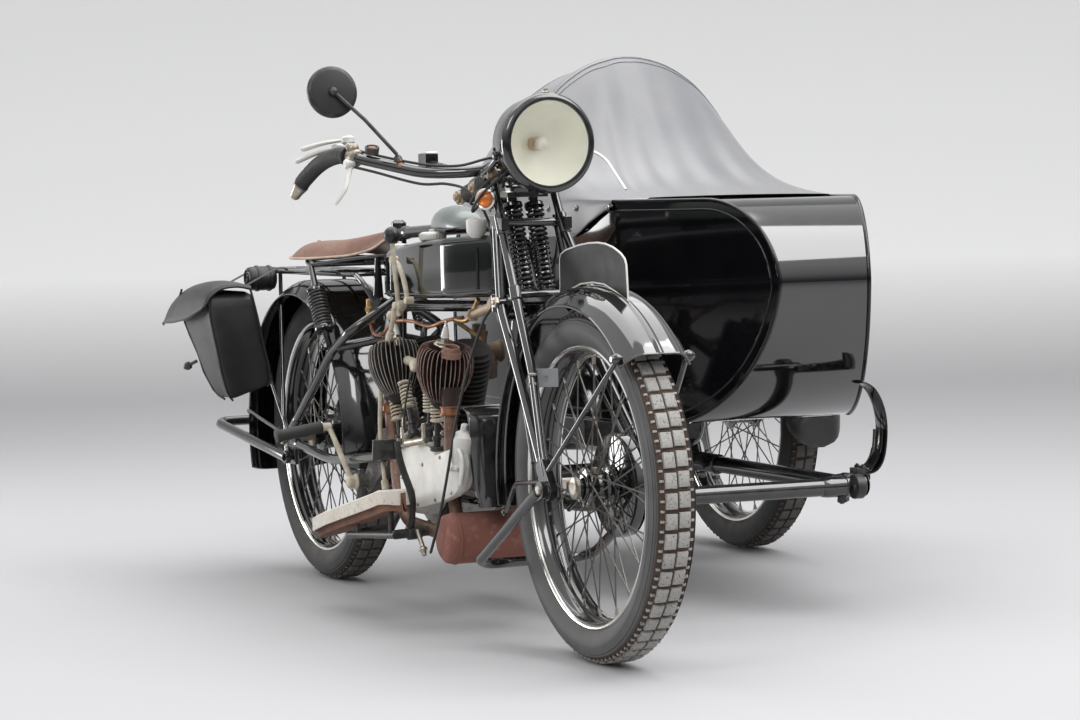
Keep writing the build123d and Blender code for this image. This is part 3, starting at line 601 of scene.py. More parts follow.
dull_casting = finish("dull_casting", (0.13, 0.125, 0.12), 0.6, metallic=0.4, second=(0.07, 0.062, 0.055),
    patch_scale=14, specks=(0.2, 0.17, 0.14), dusty=0.15, bump=0.2, bump_scale=420)
rib_edge_brown = finish("rib_edge_brown", (0.46, 0.37, 0.33), 0.5, metallic=0.3, second=(0.2, 0.09, 0.06),
    patch_scale=30, contrast=0.3)
rib_edge_grey = finish("rib_edge_grey", (0.42, 0.4, 0.38), 0.5, metallic=0.3, second=(0.16, 0.13, 0.11),
    patch_scale=30, contrast=0.3)
body_enamel = finish("body_enamel", (0.003, 0.003, 0.004), 0.06, second=(0.005, 0.005, 0.006),
    second_rough=0.08, dusty=0.01, bump=0.012, bump_scale=14, ior=1.45, coat_weight=0.25,
    coat_roughness=0.03)
nose_enamel = finish("nose_enamel", (0.004, 0.004, 0.005), 0.06, second=(0.006, 0.006, 0.007),
    second_rough=0.09, dusty=0.01, bump=0.012, bump_scale=14, ior=1.85, coat_weight=0.5,
    coat_roughness=0.03)
tan_metal = finish("tan_metal", (0.42, 0.33, 0.23), 0.5, metallic=0.4, second=(0.3, 0.22, 0.15),
    patch_scale=18, dusty=0.1)
knob_black = finish("knob_black", (0.012, 0.012, 0.013), 0.3, dusty=0.12)
board_white = finish("board_white", (0.66, 0.63, 0.58), 0.7, second=(0.55, 0.5, 0.43), patch_scale=10,
    contrast=0.1, specks=(0.42, 0.34, 0.26), bump=0.15)
board_rust = finish("board_rust", (0.24, 0.11, 0.07), 0.85, second=(0.13, 0.07, 0.05), patch_scale=16,
    bump=0.3)
porcelain = finish("porcelain", (0.75, 0.74, 0.7), 0.25, second=(0.66, 0.62, 0.55), coat_weight=0.6)
cream_paint = finish("cream_paint", (0.56, 0.52, 0.42), 0.5, second=(0.4, 0.34, 0.25), patch_scale=60,
    bump=0.1)
pale_alloy = finish("pale_alloy", (0.72, 0.71, 0.68), 0.55, metallic=0.35, second=(0.6, 0.58, 0.54),
    patch_scale=12, contrast=0.15, dusty=0.15, bump=0.12, bump_scale=300)
pipe_brown = finish("pipe_brown", (0.22, 0.13, 0.095), 0.5, metallic=0.4, second=(0.11, 0.06, 0.045),
    patch_scale=18, contrast=0.25, specks=(0.3, 0.18, 0.12), dusty=0.1, bump=0.2)
spoke_steel = finish("spoke_steel", (0.1, 0.1, 0.1), 0.34, metallic=0.7, second=(0.16, 0.14, 0.12),
    patch_scale=30)
pale_tyre = finish("pale_tyre", (0.06, 0.06, 0.062), 0.6, second=(0.12, 0.117, 0.115), patch_scale=10,
    contrast=0.1, dusty=0.1, bump=0.25, bump_scale=300)
dark_tread = finish("dark_tread", (0.07, 0.066, 0.062), 0.85, second=(0.12, 0.11, 0.1), patch_scale=26,
    bump=0.4, bump_scale=420)
# Tyre grooves: painted shade in the recesses between the blocks; the front tyre's is also rust-brown dirt.
groove_shade_and_rust = finish("groove_shade_and_rust", (0.08, 0.05, 0.036), 0.9, second=(0.05, 0.036, 0.03), patch_scale=40,
    specks=(0.16, 0.1, 0.07))
groove_painted_shade = finish("groove_painted_shade", (0.028, 0.024, 0.022), 0.9, second=(0.07, 0.055, 0.045), patch_scale=40)
link_steel = finish("chain_steel", (0.16, 0.14, 0.13), 0.5, metallic=0.8, second=(0.08, 0.06, 0.05),
    patch_scale=60)


def glass(name, colour, roughness, weight=1.0, alpha=1.0):
    """Clear or coloured glass: a plain transmission with nothing linked to it."""
    material = bpy.data.materials.new(name)
    material.use_nodes = True
    shader = material.node_tree.nodes["Principled BSDF"]
    shader.inputs["Base Color"].default_value = (*colour, 1)
    shader.inputs["Roughness"].default_value = roughness
    shader.inputs["Transmission Weight"].default_value = weight
    shader.inputs["IOR"].default_value = 1.45
    shader.inputs["Alpha"].default_value = alpha
    ripple = node(material.node_tree, "ShaderNodeTexNoise", Scale=90)
    relief = node(material.node_tree, "ShaderNodeBump", [(ripple.outputs["Fac"], "Height")], Strength=0.05)
    material.node_tree.links.new(relief.outputs["Normal"], shader.inputs["Normal"])
    return material


lens_glass = glass("lens_glass", (1.0, 1.0, 0.97), 0.05, alpha=0.5)
amber_glass = glass("amber_glass", (0.95, 0.26, 0.04), 0.15, 0.55)
print("finishes", len(bpy.data.materials))

# %% [markdown]
# ## Finishes for the CAD's own pieces
# Each CAD piece names the slot of its surface. A piece that gets no mesh here still shows the right
# finish.

# %% Finishes by slot
slot_finish = {"black_enamel": enamel, "cast_alloy": cast_alloy, "cast_iron": rusty_iron,
    "bare_steel": old_nickel, "rusty_steel": baked_steel, "tyre": tyre_rubber, "grip_rubber": grip_rubber,
    "saddle_leather": tan_leather, "bag_leather": black_leather, "hood_cloth": hood_cloth,
    "lens": lens_glass, "plate": plate_black, "trim_leather": seat_leather}
for row in frame["record"]["subparts"]:
    mesh = frame["nodes"][row["node"]].data
    mesh.materials.clear()
    mesh.materials.append(slot_finish[row["material_slot"]])
print("slots with a finish", sorted(slot_finish))

# %% [markdown]
# ## Wheels
# A spoked wheel is a hub hung inside a rim by thin wires in tension. The spokes leave the two hub flanges
# nearly along a tangent and cross each other, so that the wheel can carry drive and braking. The rim is a
# rolled steel channel: its section is carried round the axle once, with bead edges that hold the tyre.

# %% Rims
RIM_SECTION = [
    (-33, 270), (-35, 267), (-33, 263), (-27, 261), (-23, 257), (-14, 249), (0, 246), (14, 249), (23, 257),
    (27, 261), (33, 263), (35, 267), (33, 270), (29, 268), (24, 264), (13, 254), (0, 251), (-13, 254),
    (-24, 264), (-29, 268),
]
BRIGHT_EDGE = [(33.5, 270.6), (35.6, 268), (35.2, 265), (33, 262.4), (30.5, 261.6), (33.4, 264.6),
    (34, 267.5)]
SPOKES_EACH_SIDE = 20
SPOKE_LEAD = radians(52)
SPOKE_WEAVE = 1.6
NIPPLE_SEAT_R = 248
NIPPLE_LENGTH = 15
RIM_STEPS = 120


def spokes(centre, flange_low, flange_high, flange_radius=34, hand=1):
    """Forty crossed spokes and their nipples, from two hub flanges to the rim's middle."""
    wires, nipples = [], []
    for flange, rim_x, offset in ((flange_low, -7, 0), (flange_high, 7, 0.5)):
        for k in range(SPOKES_EACH_SIDE):
            angle = 2 * pi * (k + offset) / SPOKES_EACH_SIDE
            way = 1 if k % 2 else -1
            lead = SPOKE_LEAD * way * hand
            foot = Vector((centre[0] + flange + SPOKE_WEAVE * way,
                centre[1] + flange_radius * cos(angle + lead),
                centre[2] + flange_radius * sin(angle + lead)))
            head = centre + Vector((rim_x, NIPPLE_SEAT_R * cos(angle), NIPPLE_SEAT_R * sin(angle)))
            pull = (head - foot).normalized()
            wires.append(pipe([foot, head], 1.6, 6))
            nipples += [bar(head - pull * NIPPLE_LENGTH, head + pull * 2, 2.3, 2.9, 8),
                turned(foot - Vector((2.6, 0, 0)), foot + Vector((2.6, 0, 0)), [(0, 2), (1, 3.4), (5, 2)],
                6)]
    return added(*wires), added(*nipples)


def hub(centre, profile):
    """A turned hub from rows of (x, radius)."""
    start = Vector((centre[0] + profile[0][0], centre[1], centre[2]))
    return turned(start, start + Vector((1, 0, 0)), [(x - profile[0][0], r) for x, r in profile], 40)


HUB_FRONT = [(-58, 9), (-58, 17), (-55, 21), (-50, 21), (-48, 16), (-44, 16), (-42, 25), (-38, 26),
    (-36, 37), (-35, 39), (-32.5, 39), (-31.5, 36), (-29, 26), (-22, 23), (2, 23), (9, 27), (11.5, 37),
    (12.5, 39), (15, 39), (16, 36), (20, 40), (23, 92), (25, 98), (30, 100), (46, 100), (49, 97),
    (50, 92), (50, 12)]
HUB_REAR = [(-58, 11), (-58, 18), (-54, 23), (-48, 23), (-44, 18), (-40, 28), (-36, 39), (-33, 39),
    (-31, 34), (-26, 27), (10, 27), (17, 30), (20, 39), (23, 39), (25, 34), (28, 40), (30, 94), (33, 99),
    (50, 99), (52, 94), (53, 45), (60, 42), (61, 20), (69, 18), (70, 11)]
HUB_SIDE = [(-58, 11), (-58, 18), (-54, 23), (-46, 23), (-42, 18), (-38, 28), (-36, 39), (-33, 39),
    (-31, 34), (-26, 27), (24, 27), (30, 30), (32, 39), (35, 39), (37, 34), (42, 26), (48, 24), (52, 22),
    (56, 20), (58, 14), (58, 11)]

for label, centre, flanges, profile, hand in (
    ("front", FRONT, (-34, 14), HUB_FRONT, 1), ("rear", REAR, (-34, 22), HUB_REAR, -1),
    ("sidecar", SIDE, (-34, 34), HUB_SIDE, 1),
):
    body = f"{label}_wheel"
    piece(f"{label}_rim", carried(centre, RIM_SECTION, 0, 360, RIM_STEPS, looped=True), enamel, body,
        replaces=body)
    edges = [carried(centre, [(x * s, r) for x, r in BRIGHT_EDGE], 0, 360, RIM_STEPS, looped=True)
        for s in (-1, 1)]
    piece(f"{label}_rim_edges", edges, bright_nickel, body)
    wires, nipples = spokes(centre, *flanges, hand=hand)
    piece(f"{label}_spokes", wires, spoke_steel, body)
    piece(f"{label}_nipples", nipples, old_nickel, body)
    piece(f"{label}_hub", hub(centre, profile), enamel, body, bevel=0.8)
print("wheels", triangle_count["front_spokes"])

# %% [markdown]
# The hubs have small parts that show through the spokes: an oil cup, a bright end cap, and on the front
# hub the arm that holds the brake plate. The brake plate doesn't turn, so it rides on the fork.

# %% Hub fittings
for label, centre in (("front", FRONT), ("rear", REAR), ("sidecar", SIDE)):
    rim_of_cap = hub(centre, [(-60, 10), (-60, 18), (-58, 21.5), (-52, 22), (-50, 19)])
    cup = bar(centre + Vector((-12, 0, 24)), centre + Vector((-12, 0, 37)), 7, 6)
    piece(f"{label}_hub_cap", [rim_of_cap, cup], old_nickel, f"{label}_wheel")
bolts = []
for k in range(10):
    angle = 2 * pi * k / 10
    spot = REAR + Vector((30, 70 * cos(angle), 70 * sin(angle)))
    bolts.append(hexagon(spot, spot - Vector((1, 0, 0)), 5, 3))
piece("rear_drum_bolts", bolts, old_nickel, "rear_wheel")
plate = hub(FRONT, [(50.5, 10), (50.5, 94), (52.5, 98), (54.5, 96), (55.5, 40), (57.5, 30), (57.5, 10)])
arm = slab([(-1500, 350), (-1500, 320), (-1410, 352), (-1410, 366)], 55, 60)
piece("front_brake_plate", [plate, arm], enamel, "fork", bevel=0.8)


# %% [markdown]
# The rear sprocket is a ring with forty teeth, bolted to the drum. Its outline goes round once, and two
# of every four points step out to make a tooth.

# %% Rear sprocket
def toothed(centre, x_from, x_to, inner, outer, teeth):
    """A sprocket ring whose teeth are pointed bumps on its rim."""
    rings = []
    for i in range(teeth * 4):
        angle = 2 * pi * i / (teeth * 4)
        tip = outer if i % 4 in (0, 1) else outer - 6
        y, z = cos(angle), sin(angle)
        rings.append([(x, centre[1] + y * r, centre[2] + z * r)
            for x, r in ((x_from, inner), (x_to, inner), (x_to, tip), (x_from, tip))])
    return skinned(rings, looped=True)


piece("rear_sprocket", toothed(REAR, 62.5, 67.5, 42, 91, 40), link_steel, "rear_wheel")

# %% [markdown]
# ## Tyres
# The tyres have smooth sidewalls and a tread of square blocks in two rows, with ribs along both
# shoulders. The carcass is a round section carried about the axle, and every block is a small curved box
# set on it. Narrow bridges of rubber tie the blocks together. The grooves between them are painted darker
# as painted shade, and on the front tyre also rust-brown as dirt.

# %% Tyre carcasses and treads
CARCASS = [(-26, 268), (-33, 271), (-40, 279), (-45, 290), (-46.5, 300), (-45, 309), (-41, 317),
    (-36, 322.5), (-28, 326.5), (-14, 328.6), (0, 329), (14, 328.6), (28, 326.5), (36, 322.5), (41, 317),
    (45, 309), (46.5, 300), (45, 290), (40, 279), (33, 271), (26, 268), (14, 262), (-14, 262)]
RIBS = ((30.5, 325.8, 1.4), (35.4, 323.2, 1.2), (39.4, 319.4, 1.0), (42.8, 314.2, 0.9), (46.0, 303, 0.8))
TREAD_PITCHES = 56
TYRE_STEPS = 168


def tread_box(centre, angle, half_turn, x_from, x_to, low, high):
    """A block of rubber on the tyre: a curved box with softened upper edges."""
    rings = []
    for turn, lower in ((-half_turn, 1.0), (-half_turn * 0.86, 0), (0, 0), (half_turn * 0.86, 0),
            (half_turn, 1.0)):
        section = [(x_from, low), (x_from + 0.3, high - 0.8 - lower), (x_from + 1.2, high - lower),
            (x_to - 1.2, high - lower), (x_to - 0.3, high - 0.8 - lower), (x_to, low)]
        rings.append([beside_axle(centre, x, r, angle + turn) for x, r in section])
    return skinned(rings)


def tyre(label, centre, side_finish, top_finish, groove_shade_finish):
    """One tyre: carcass, ribs on both shoulders, two rows of blocks and the thin bridges across."""
    body = f"{label}_wheel"
    sides = carried(centre, CARCASS, 0, 360, TYRE_STEPS, looped=True)
    piece(f"{label}_carcass", sides, side_finish, body, replaces=f"{label}_tyre", smooth=60)
    # The groove floor and the small tread ribs are painted darker as shade between the blocks.
    groove = [(-34, 322.9), (-34, 324.2), (-27, 327.4), (-14, 329.4), (0, 329.8), (14, 329.4),
        (27, 327.4), (34, 324.2), (34, 322.9), (14, 327), (-14, 327)]
    piece(f"{label}_grooves", carried(centre, groove, 0, 360, TYRE_STEPS, looped=True), groove_shade_finish,
        body)
    ribs, side_ribs = [], []
    for x, r, half in RIBS:
        for s in (-1, 1):
            section = [(s * (x - half), r - 1), (s * (x + 0.2), r + 1.5), (s * (x + half), r - 1.6)]
            row = ribs if x < 38 else side_ribs
            row.append(carried(centre, section, 0, 360, TYRE_STEPS, looped=True))
    blocks = []
    pitch = 2 * pi / TREAD_PITCHES
    for k in range(TREAD_PITCHES):
        angle = k * pitch
        for s, shift in ((-1, 0.0), (1, 0.06)):
            inner, outer = 1.8 * s, 24 * s
            low_x, high_x = min(inner, outer), max(inner, outer)
            blocks.append(tread_box(centre, angle + shift * pitch, pitch * 0.385, low_x, high_x, 327,
                334.6))
            low_x, high_x = min(25.8 * s, 33.5 * s), max(25.8 * s, 33.5 * s)
            blocks += [
                tread_box(centre, angle + 0.5 * pitch, pitch * 0.06, low_x, high_x, 321, 329),
                tread_box(centre, angle, pitch * 0.06, low_x, high_x, 321, 330),
            ]
    piece(f"{label}_tread", blocks, top_finish, body)
    piece(f"{label}_tread_ribs", ribs, groove_shade_finish, body)
    piece(f"{label}_side_ribs", side_ribs, side_finish, body)


tyre("front", FRONT, pale_tyre, tread_rubber, groove_shade_and_rust)
tyre("rear", REAR, tyre_rubber, dark_tread, groove_painted_shade)
tyre("sidecar", SIDE, tyre_rubber, dark_tread, groove_painted_shade)
print("tyres", triangle_count["front_tread"], triangle_count["front_carcass"])

# %% [markdown]
# ## Mudguards
# A mudguard is one pressed sheet: a shallow channel carried round the wheel with a rolled wire edge. The
# front one has nearly flat sides that hang down from a raised middle, and the other two are plain shallow
# arches.

# %% Guards and their rolled edges
def guard_section(half, edge_radius, crown_radius, flat, steps=8, thickness=1.6):
    """The closed section of a pressed sheet from edge to edge: rows of (x, radius)."""
    outer = []
    for i in range(-steps, steps + 1):
        t = i / steps
        x = half * (abs(t) ** 0.92) * (1 if t >= 0 else -1)
        drop = max(0.0, (abs(t) - flat) / (1 - flat))
        outer.append((x, crown_radius - (crown_radius - edge_radius) * drop ** 2.1))
    inner = [(x * (1 - thickness / half), r - thickness) for x, r in reversed(outer)]
    return outer + inner


def guard(name, centre, section_half, edge, crown, angles, steps, finish_name, body, replaces, flat):
    """A mudguard with rolled wire along both edges and both ends."""
    section = guard_section(section_half, edge, crown, flat)
    sheet = carried(centre, section, *angles, steps)
    piece(name, sheet, finish_name, body, replaces=replaces, smooth=50)
    wires = []
    for s in (-1, 1):
        route = []
        for i in range(steps + 1):
            a = radians(angles[0] + (angles[1] - angles[0]) * i / steps)
            route.append(beside_axle(centre, s * (section_half - 0.5), edge - 0.5, a))
        wires.append(pipe(route, 2.6, 8))
    for turn in angles:
        end = [beside_axle(centre, x, r, radians(turn)) for x, r in section[:len(section) // 2]]
        wires.append(pipe(end, 2.2, 8))
    piece(f"{name}_edges", wires, finish_name, body)


guard("front_guard", FRONT, 70, 346, 379, (44, 190), 60, nose_enamel, "fork", "front_mudguard", 0.4)
guard("rear_guard", REAR, 99, 337, 368, (-8, 196), 72, enamel, "machine", "rear_mudguard", 0.45)
guard("side_guard", SIDE, 74, 364, 394, (2, 190), 72, enamel, "machine", "sidecar_mudguard", 0.5)
tip = []
for k in range(8):
    reach = k / 7
    half = 74 * sqrt(max(1 - reach ** 2.6, 0.04))
    outer = []
    for i in range(-8, 9):
        x = half * i / 8
        outer.append((x, 394 - 30 * max(0.0, (abs(x) / 74 - 0.5) / 0.5) ** 2.1))
    rows = outer + [(x * 0.98, r - 1.6) for x, r in reversed(outer)]
    tip.append([beside_axle(SIDE, x, r, radians(2 - 11 * reach)) for x, r in rows])
piece("side_guard_tip", skinned(tip), satin_black)
ridge = [(-8, 379), (-5, 381.4), (0, 382.2), (5, 381.4), (8, 379)]
piece("front_guard_rib", carried(FRONT, ridge, 44, 190, 60), nose_enamel, "fork")
stays = [both(
    pipe(bent_route([(66, -1262, 588), (84, -1330, 500), (107, -1424, 380)], 20), 4.5, 10),
    pipe(bent_route([(68, -1190, 262), (92, -1300, 330), (110, -1470, 348)], 20), 4.5, 10),
    hexagon((67, -1258, 592), (80, -1258, 592), 8, 5),
    hexagon((68, -1190, 262), (80, -1190, 262), 8, 5),
    pipe([(70, -1738, 590), (112, -1508, 372)], 5, 10),
    turned((62, -1738, 590), (84, -1738, 590), [(0, 8), (4, 9), (10, 11), (16, 10), (22, 5)], 16),
)]
piece("front_guard_stays", stays, enamel, "fork")
side_stay = pipe(smooth_route([(950, -27, 352), (972, -27, 400), (984, -27, 560), (988, -27, 690),
    (1000, -27, 712)], 8), 8, 12)
brace = pipe(smooth_route([(984, -27, 560), (992, 120, 610), (996, 230, 640)], 6), 6, 10)
piece("side_guard_stay", [side_stay, brace], enamel)
rear_stays = [both(
    pipe([(112, 6, 346), (101, 250, 560)], 5, 10),
    pipe([(112, 6, 338), (101, 330, 380)], 5, 10),
    hexagon((100, 250, 560), (112, 250, 560), 8, 4),
    hexagon((100, 330, 380), (112, 330, 380), 8, 4),
)]
piece("rear_guard_stays", rear_stays, enamel)
print("guards", triangle_count["rear_guard"])

# %% [markdown]
# ## Frame
# The frame is drawn steel tube brazed into malleable lugs. A lug is a slightly fatter sleeve with a lip
# where it ends, so each joint here gets short sleeves over the plain tubes. The rear part, with the chain
# stays and the seat stays, bolts to the front part.


# %% Tubes and lugs
def lug(start, end, radius, length, lip=1.8):
    """A sleeve over the first part of a tube from start towards end, with a feathered lip."""
    return turned(start, end, [(-radius, radius * 0.55), (-radius * 0.6, radius + lip * 0.8),
        (0, radius + lip), (length * 0.8, radius + lip), (length, radius + lip * 0.4),
        (length + 2, radius)], 20)


tubes = [pipe([(0, -1080, 832), (0, -470, 812)], 13, 20),
    pipe([(0, -1150, 716), (0, -1086, 668), (0, -452, 652)], 13, 20),
    pipe([(0, -462, 814), (0, -440, 330)], 15, 20), pipe([(0, -1140, 716), (0, -1042, 300)], 15, 20)]
joints = [
    lug((0, -1090, 832), (0, -470, 812), 13.2, 60), lug((0, -1140, 712), (0, -1086, 668), 13.2, 30),
    lug((0, -470, 812), (0, -1080, 832), 13.2, 55), lug((0, -462, 826), (0, -440, 330), 15.2, 70),
    lug((0, -452, 652), (0, -1086, 668), 13.2, 50), lug((0, -454, 680), (0, -452, 620), 15.2, 60),
    lug((0, -1148, 748), (0, -1042, 300), 15.2, 90), lug((0, -1042, 300), (0, -1140, 716), 15.2, 50),
]
rail = [(8, -1046, 312), (50, -1010, 266), (50, -480, 266), (8, -440, 340)]
tubes += [both(pipe(bent_route(rail, 40), 9, 14))]
head_tube = turned(steer_point(692), steer_point(878),
    [(-2, 20), (0, 26.5), (14, 27), (18, 24.5), (100, 23.5), (192, 24.5), (196, 27), (211, 26.5),
    (214, 20)], 36)
cups = added(
    turned(steer_point(680), steer_point(692), [(0, 20), (2, 24), (10, 25), (13, 21)], 32),
    turned(steer_point(878), steer_point(900), [(0, 21), (3, 25), (11, 24), (14, 18)], 32),
)
piece("frame_tubes", tubes, enamel, replaces="front_frame")
piece("frame_lugs", [*joints, head_tube], enamel, bevel=0.6)
piece("head_cups", cups, old_nickel)

seat_stay = [(10, -452, 664), (112, -440, 600), (112, -315, 551), (112, -24, 356)]
fork_end = [(-50, 276), (-50, 352), (-36, 360), (-14, 362), (6, 358), (24, 352), (24, 318), (-8, 314),
    (-14, 300), (-10, 276)]
stays = [both(
    pipe(bent_route([(112, -622, 336), (112, -295, 304), (112, -22, 328)], 60), 11, 14),
    pipe(bent_route(seat_stay, 34), 10, 14),
)]
stay_lugs = [both(
    slab(fork_end, 108, 116),
    lug((112, -26, 328), (112, -295, 304), 11, 50),
    lug((112, -26, 356), (112, -315, 551), 10, 50),
    lug((112, -622, 336), (112, -295, 304), 11, 30),
    bar((116, -30, 293), (136, -30, 293), 8, sides=20),
)]
stays += [bar((-112, -614, 335), (112, -614, 335), 9), bar((-112, -440, 316), (112, -440, 316), 9)]
piece("stay_tubes", stays, enamel, replaces="rear_frame")
piece("stay_lugs", stay_lugs, enamel, bevel=0.6)

# %% [markdown]
# A wheel spindle is pulled back by a small screw on each side to tighten the chain. Washers, nuts and
# these adjusters are turned and six-sided shapes, made once and mirrored.

# %% Axles, nuts and chain adjusters
nuts = [both(
    turned((120, -2, 335), (121, -2, 335), [(0, 10), (0, 19), (3, 20), (4, 15)], 24),
    hexagon((122, 0, 335), (136, 0, 335), 16, 11),
    pipe([(116, 26, 335), (116, 66, 335)], 4, 10),
    hexagon((116, 40, 335), (116, 50, 335), 8, 8),
)]
nuts.append(bar((-136, 0, 335), (136, 0, 335), 9, sides=20))
side_axle = [bar((930, -27, 335), (1140, -27, 335), 9, sides=20),
    hexagon((1124, -27, 335), (1140, -27, 335), 15, 10)]
side_tubes = [pipe([(s * 112, -352, 560), (s * 20, -405, 580)], 11, 14) for s in (-1, 1)]
piece("stay_cross_tubes", side_tubes, enamel)
piece("rear_spindles", [*nuts, *side_axle], old_nickel, replaces="rear_axles")
print("frame", triangle_count["frame_tubes"])

# %% [markdown]
# ## Undershield
# Behind the front wheel a bent black sheet keeps mud off the engine. Its top is rolled back over the
# magneto.

# %% Undershield
profile = [(-1086, 262), (-1086, 300), (-1086, 400), (-1086, 436), (-1081, 450), (-1070, 459),
    (-1054, 463), (-1036, 462)]
rings = []
for y, z in profile:
    half = 96 if z > 330 else 78 + (z - 268) * 0.29
    rings.append([(-half, y + 12, z), (-half, y + 3, z), (-half + 5, y, z), (half - 5, y, z),
        (half, y + 3, z), (half, y + 12, z), (half - 1.6, y + 12, z), (half - 1.6, y + 4, z),
        (half - 6, y + 1.8, z), (-half + 6, y + 1.8, z), (-half + 1.6, y + 4, z),
        (-half + 1.6, y + 12, z)])
piece("undershield_sheet", skinned(rings), enamel, replaces="undershield", smooth=50)
piece("undershield_roll", pipe([(-96, -1024, 462), (96, -1024, 462)], 4, 12), enamel)

# %% [markdown]
# ## Sidecar chassis
# The chassis is a loop of thick tube, joined by forged lugs with clamp bolts. Its front end carries the
# big C-shaped leaf spring in a clamp with two nuts.

# %% Chassis tubes
front_tube = bent_route([(10, -1052, 300), (110, -1132, 264), (748, -1150, 262)], 40)
back_loop = bent_route([(740, -1146, 262), (740, 250, 262), (380, 250, 262), (120, -150, 306)], 90, 9)
chassis = [pipe(front_tube, 19, 20), pipe(back_loop, 19, 20), bar((56, -480, 262), (740, -480, 262), 16),
    pipe(bent_route([(740, -27, 262), (944, -27, 272), (944, -27, 357)], 40), 15, 16)]
piece("chassis_tubes", chassis, enamel, replaces="sidecar_chassis")
lugs = [lug((740, -1150, 262), (110, -1132, 262), 19.3, 70, 3),
    lug((740, -1150, 262), (740, 250, 262), 19.3, 60, 3),
    lug((740, -480, 262), (56, -480, 262), 16.3, 50, 3),
    lug((740, -27, 262), (944, -27, 272), 15.3, 40, 3), bar((740, -540, 262), (740, -430, 262), 23),
    bar((740, -80, 262), (740, 26, 262), 23), bar((716, -1150, 262), (770, -1150, 262), 24),
    turned((770, -1150, 262), (776, -1150, 262), [(0, 24), (4, 20), (6, 10)], 24)]
for y in (-1120, -520, -450, -60, 6):
    lugs.append(hexagon((740, y, 236), (740, y, 222), 11, 9))
piece("chassis_lugs", lugs, enamel, bevel=0.6)

# %% [markdown]
# ## Engine
# This is a side-valve V-twin: two air-cooled cylinders lean 26 degrees forward and back from one
# crankcase. Beside each barrel, on the machine's right, stands the valve chest. Its cooling ribs run up
# and down like the slices of an onion, while the barrel behind it has plain round fins. Every rib is a
# thin plate that gets thinner outwards.

# %% Barrels and ribbed valve chests
CYL_LEAN = radians(26)
BULB = {-1: Vector((-80, -914, 536)), 1: Vector((-80, -636, 530))}
BULB_PROFILE = [(22, 46), (40, 49), (52, 46), (58, 33), (60, 16), (59, -4), (54, -24), (46, -42),
    (36, -58), (24, -70)]
BULB_LEAN = radians(16)
RIB_COUNT = 36
BARREL_FINS = 15
FIRST_FIN, FIN_PITCH = 22, 11.5


def up_cylinder(distance, side, x=0, across_it=0):
    """A point along a cylinder's centre line and across it; side -1 is the front cylinder."""
    return Vector((x, CRANK.y + side * (distance * sin(CYL_LEAN) + across_it * cos(CYL_LEAN)),
        CRANK.z + distance * cos(CYL_LEAN) - across_it * sin(CYL_LEAN)))


def on_chest(side, x, y, z):
    """A point given from the middle of one chest, which leans with its cylinder."""
    return BULB[side] + Vector((x, y * cos(BULB_LEAN) + side * z * sin(BULB_LEAN),
        z * cos(BULB_LEAN) - side * y * sin(BULB_LEAN)))


def onion(side, seed):
    """The upright ribs of one valve chest, none of them perfectly straight, and the bright strips on them."""
    chance = random.Random(seed)
    ribs, strips = [], []
    for k in range(RIB_COUNT):
        angle = 2 * pi * k / RIB_COUNT + chance.uniform(-0.02, 0.02)
        out = (cos(angle), sin(angle))
        bend = chance.uniform(-1.0, 1.0)
        rib, strip = [], []
        for r, h in BULB_PROFILE:
            wave = bend * (1 - (h / 70) ** 2)

            def at(radius, off):
                off += wave * (radius > r - 5)
                return on_chest(side, out[0] * radius - out[1] * off, out[1] * radius + out[0] * off, h)

            foot = max(r - 22, 8)
            rib.append([at(foot, -1.2), at(r, -0.5), at(r, 0.5), at(foot, 1.2)])
            strip.append([at(r - 1.2, -0.75), at(r + 0.3, -0.65), at(r + 0.3, 0.65), at(r - 1.2, 0.75)])
        ribs.append(skinned(rib))
        strips.append(skinned(strip))
    return added(*ribs), added(*strips)


for label, side, iron, edge in (("front", -1, rusty_iron, rib_edge_brown),
        ("rear", 1, sooty_iron, rib_edge_grey)):
    profile = [(0, 58), (12, 58), (14, 38)]
    for k in range(BARREL_FINS):
        d = FIRST_FIN + k * FIN_PITCH
        profile += [(d - 1.6, 36), (d - 0.9, 46), (d + 0.9, 46), (d + 1.6, 36)]
    barrel = turned(up_cylinder(100, side, -10), up_cylinder(300, side, -10),
        [*profile, (194, 40), (200, 18)], 40)
    foot, top = on_chest(side, 0, 0, -82), on_chest(side, 0, 0, 0)
    core = turned(foot, top, [(0, 18), (8, 24), (22, 32), (42, 38), (72, 41), (102, 40), (124, 38),
        (128, 34), (129, 3)], 32)
    ribs, strips = onion(side, 7)
    piece(f"{label}_ribs", ribs, iron, replaces=f"{label}_cylinder", smooth=25)
    piece(f"{label}_rib_edges", strips, edge, smooth=25)
    piece(f"{label}_chest", core, soot_black, smooth=50)
    piece(f"{label}_barrel", barrel, soot_black, smooth=25)
    flange_bolts = []
    for x, a in ((-44, 46), (44, 46), (44, -46), (-44, -46)):
        flange_bolts.append(hexagon(up_cylinder(113, side, x, a), up_cylinder(140, side, x, a), 7, 6))
    piece(f"{label}_barrel_nuts", flange_bolts, old_nickel)

# %% [markdown]
# Each chest has two round caps above its valves. One is an open brown ring, and the other carries the
# spark plug in a brass base. The plug has a hexagon, a white porcelain body and a terminal on top.

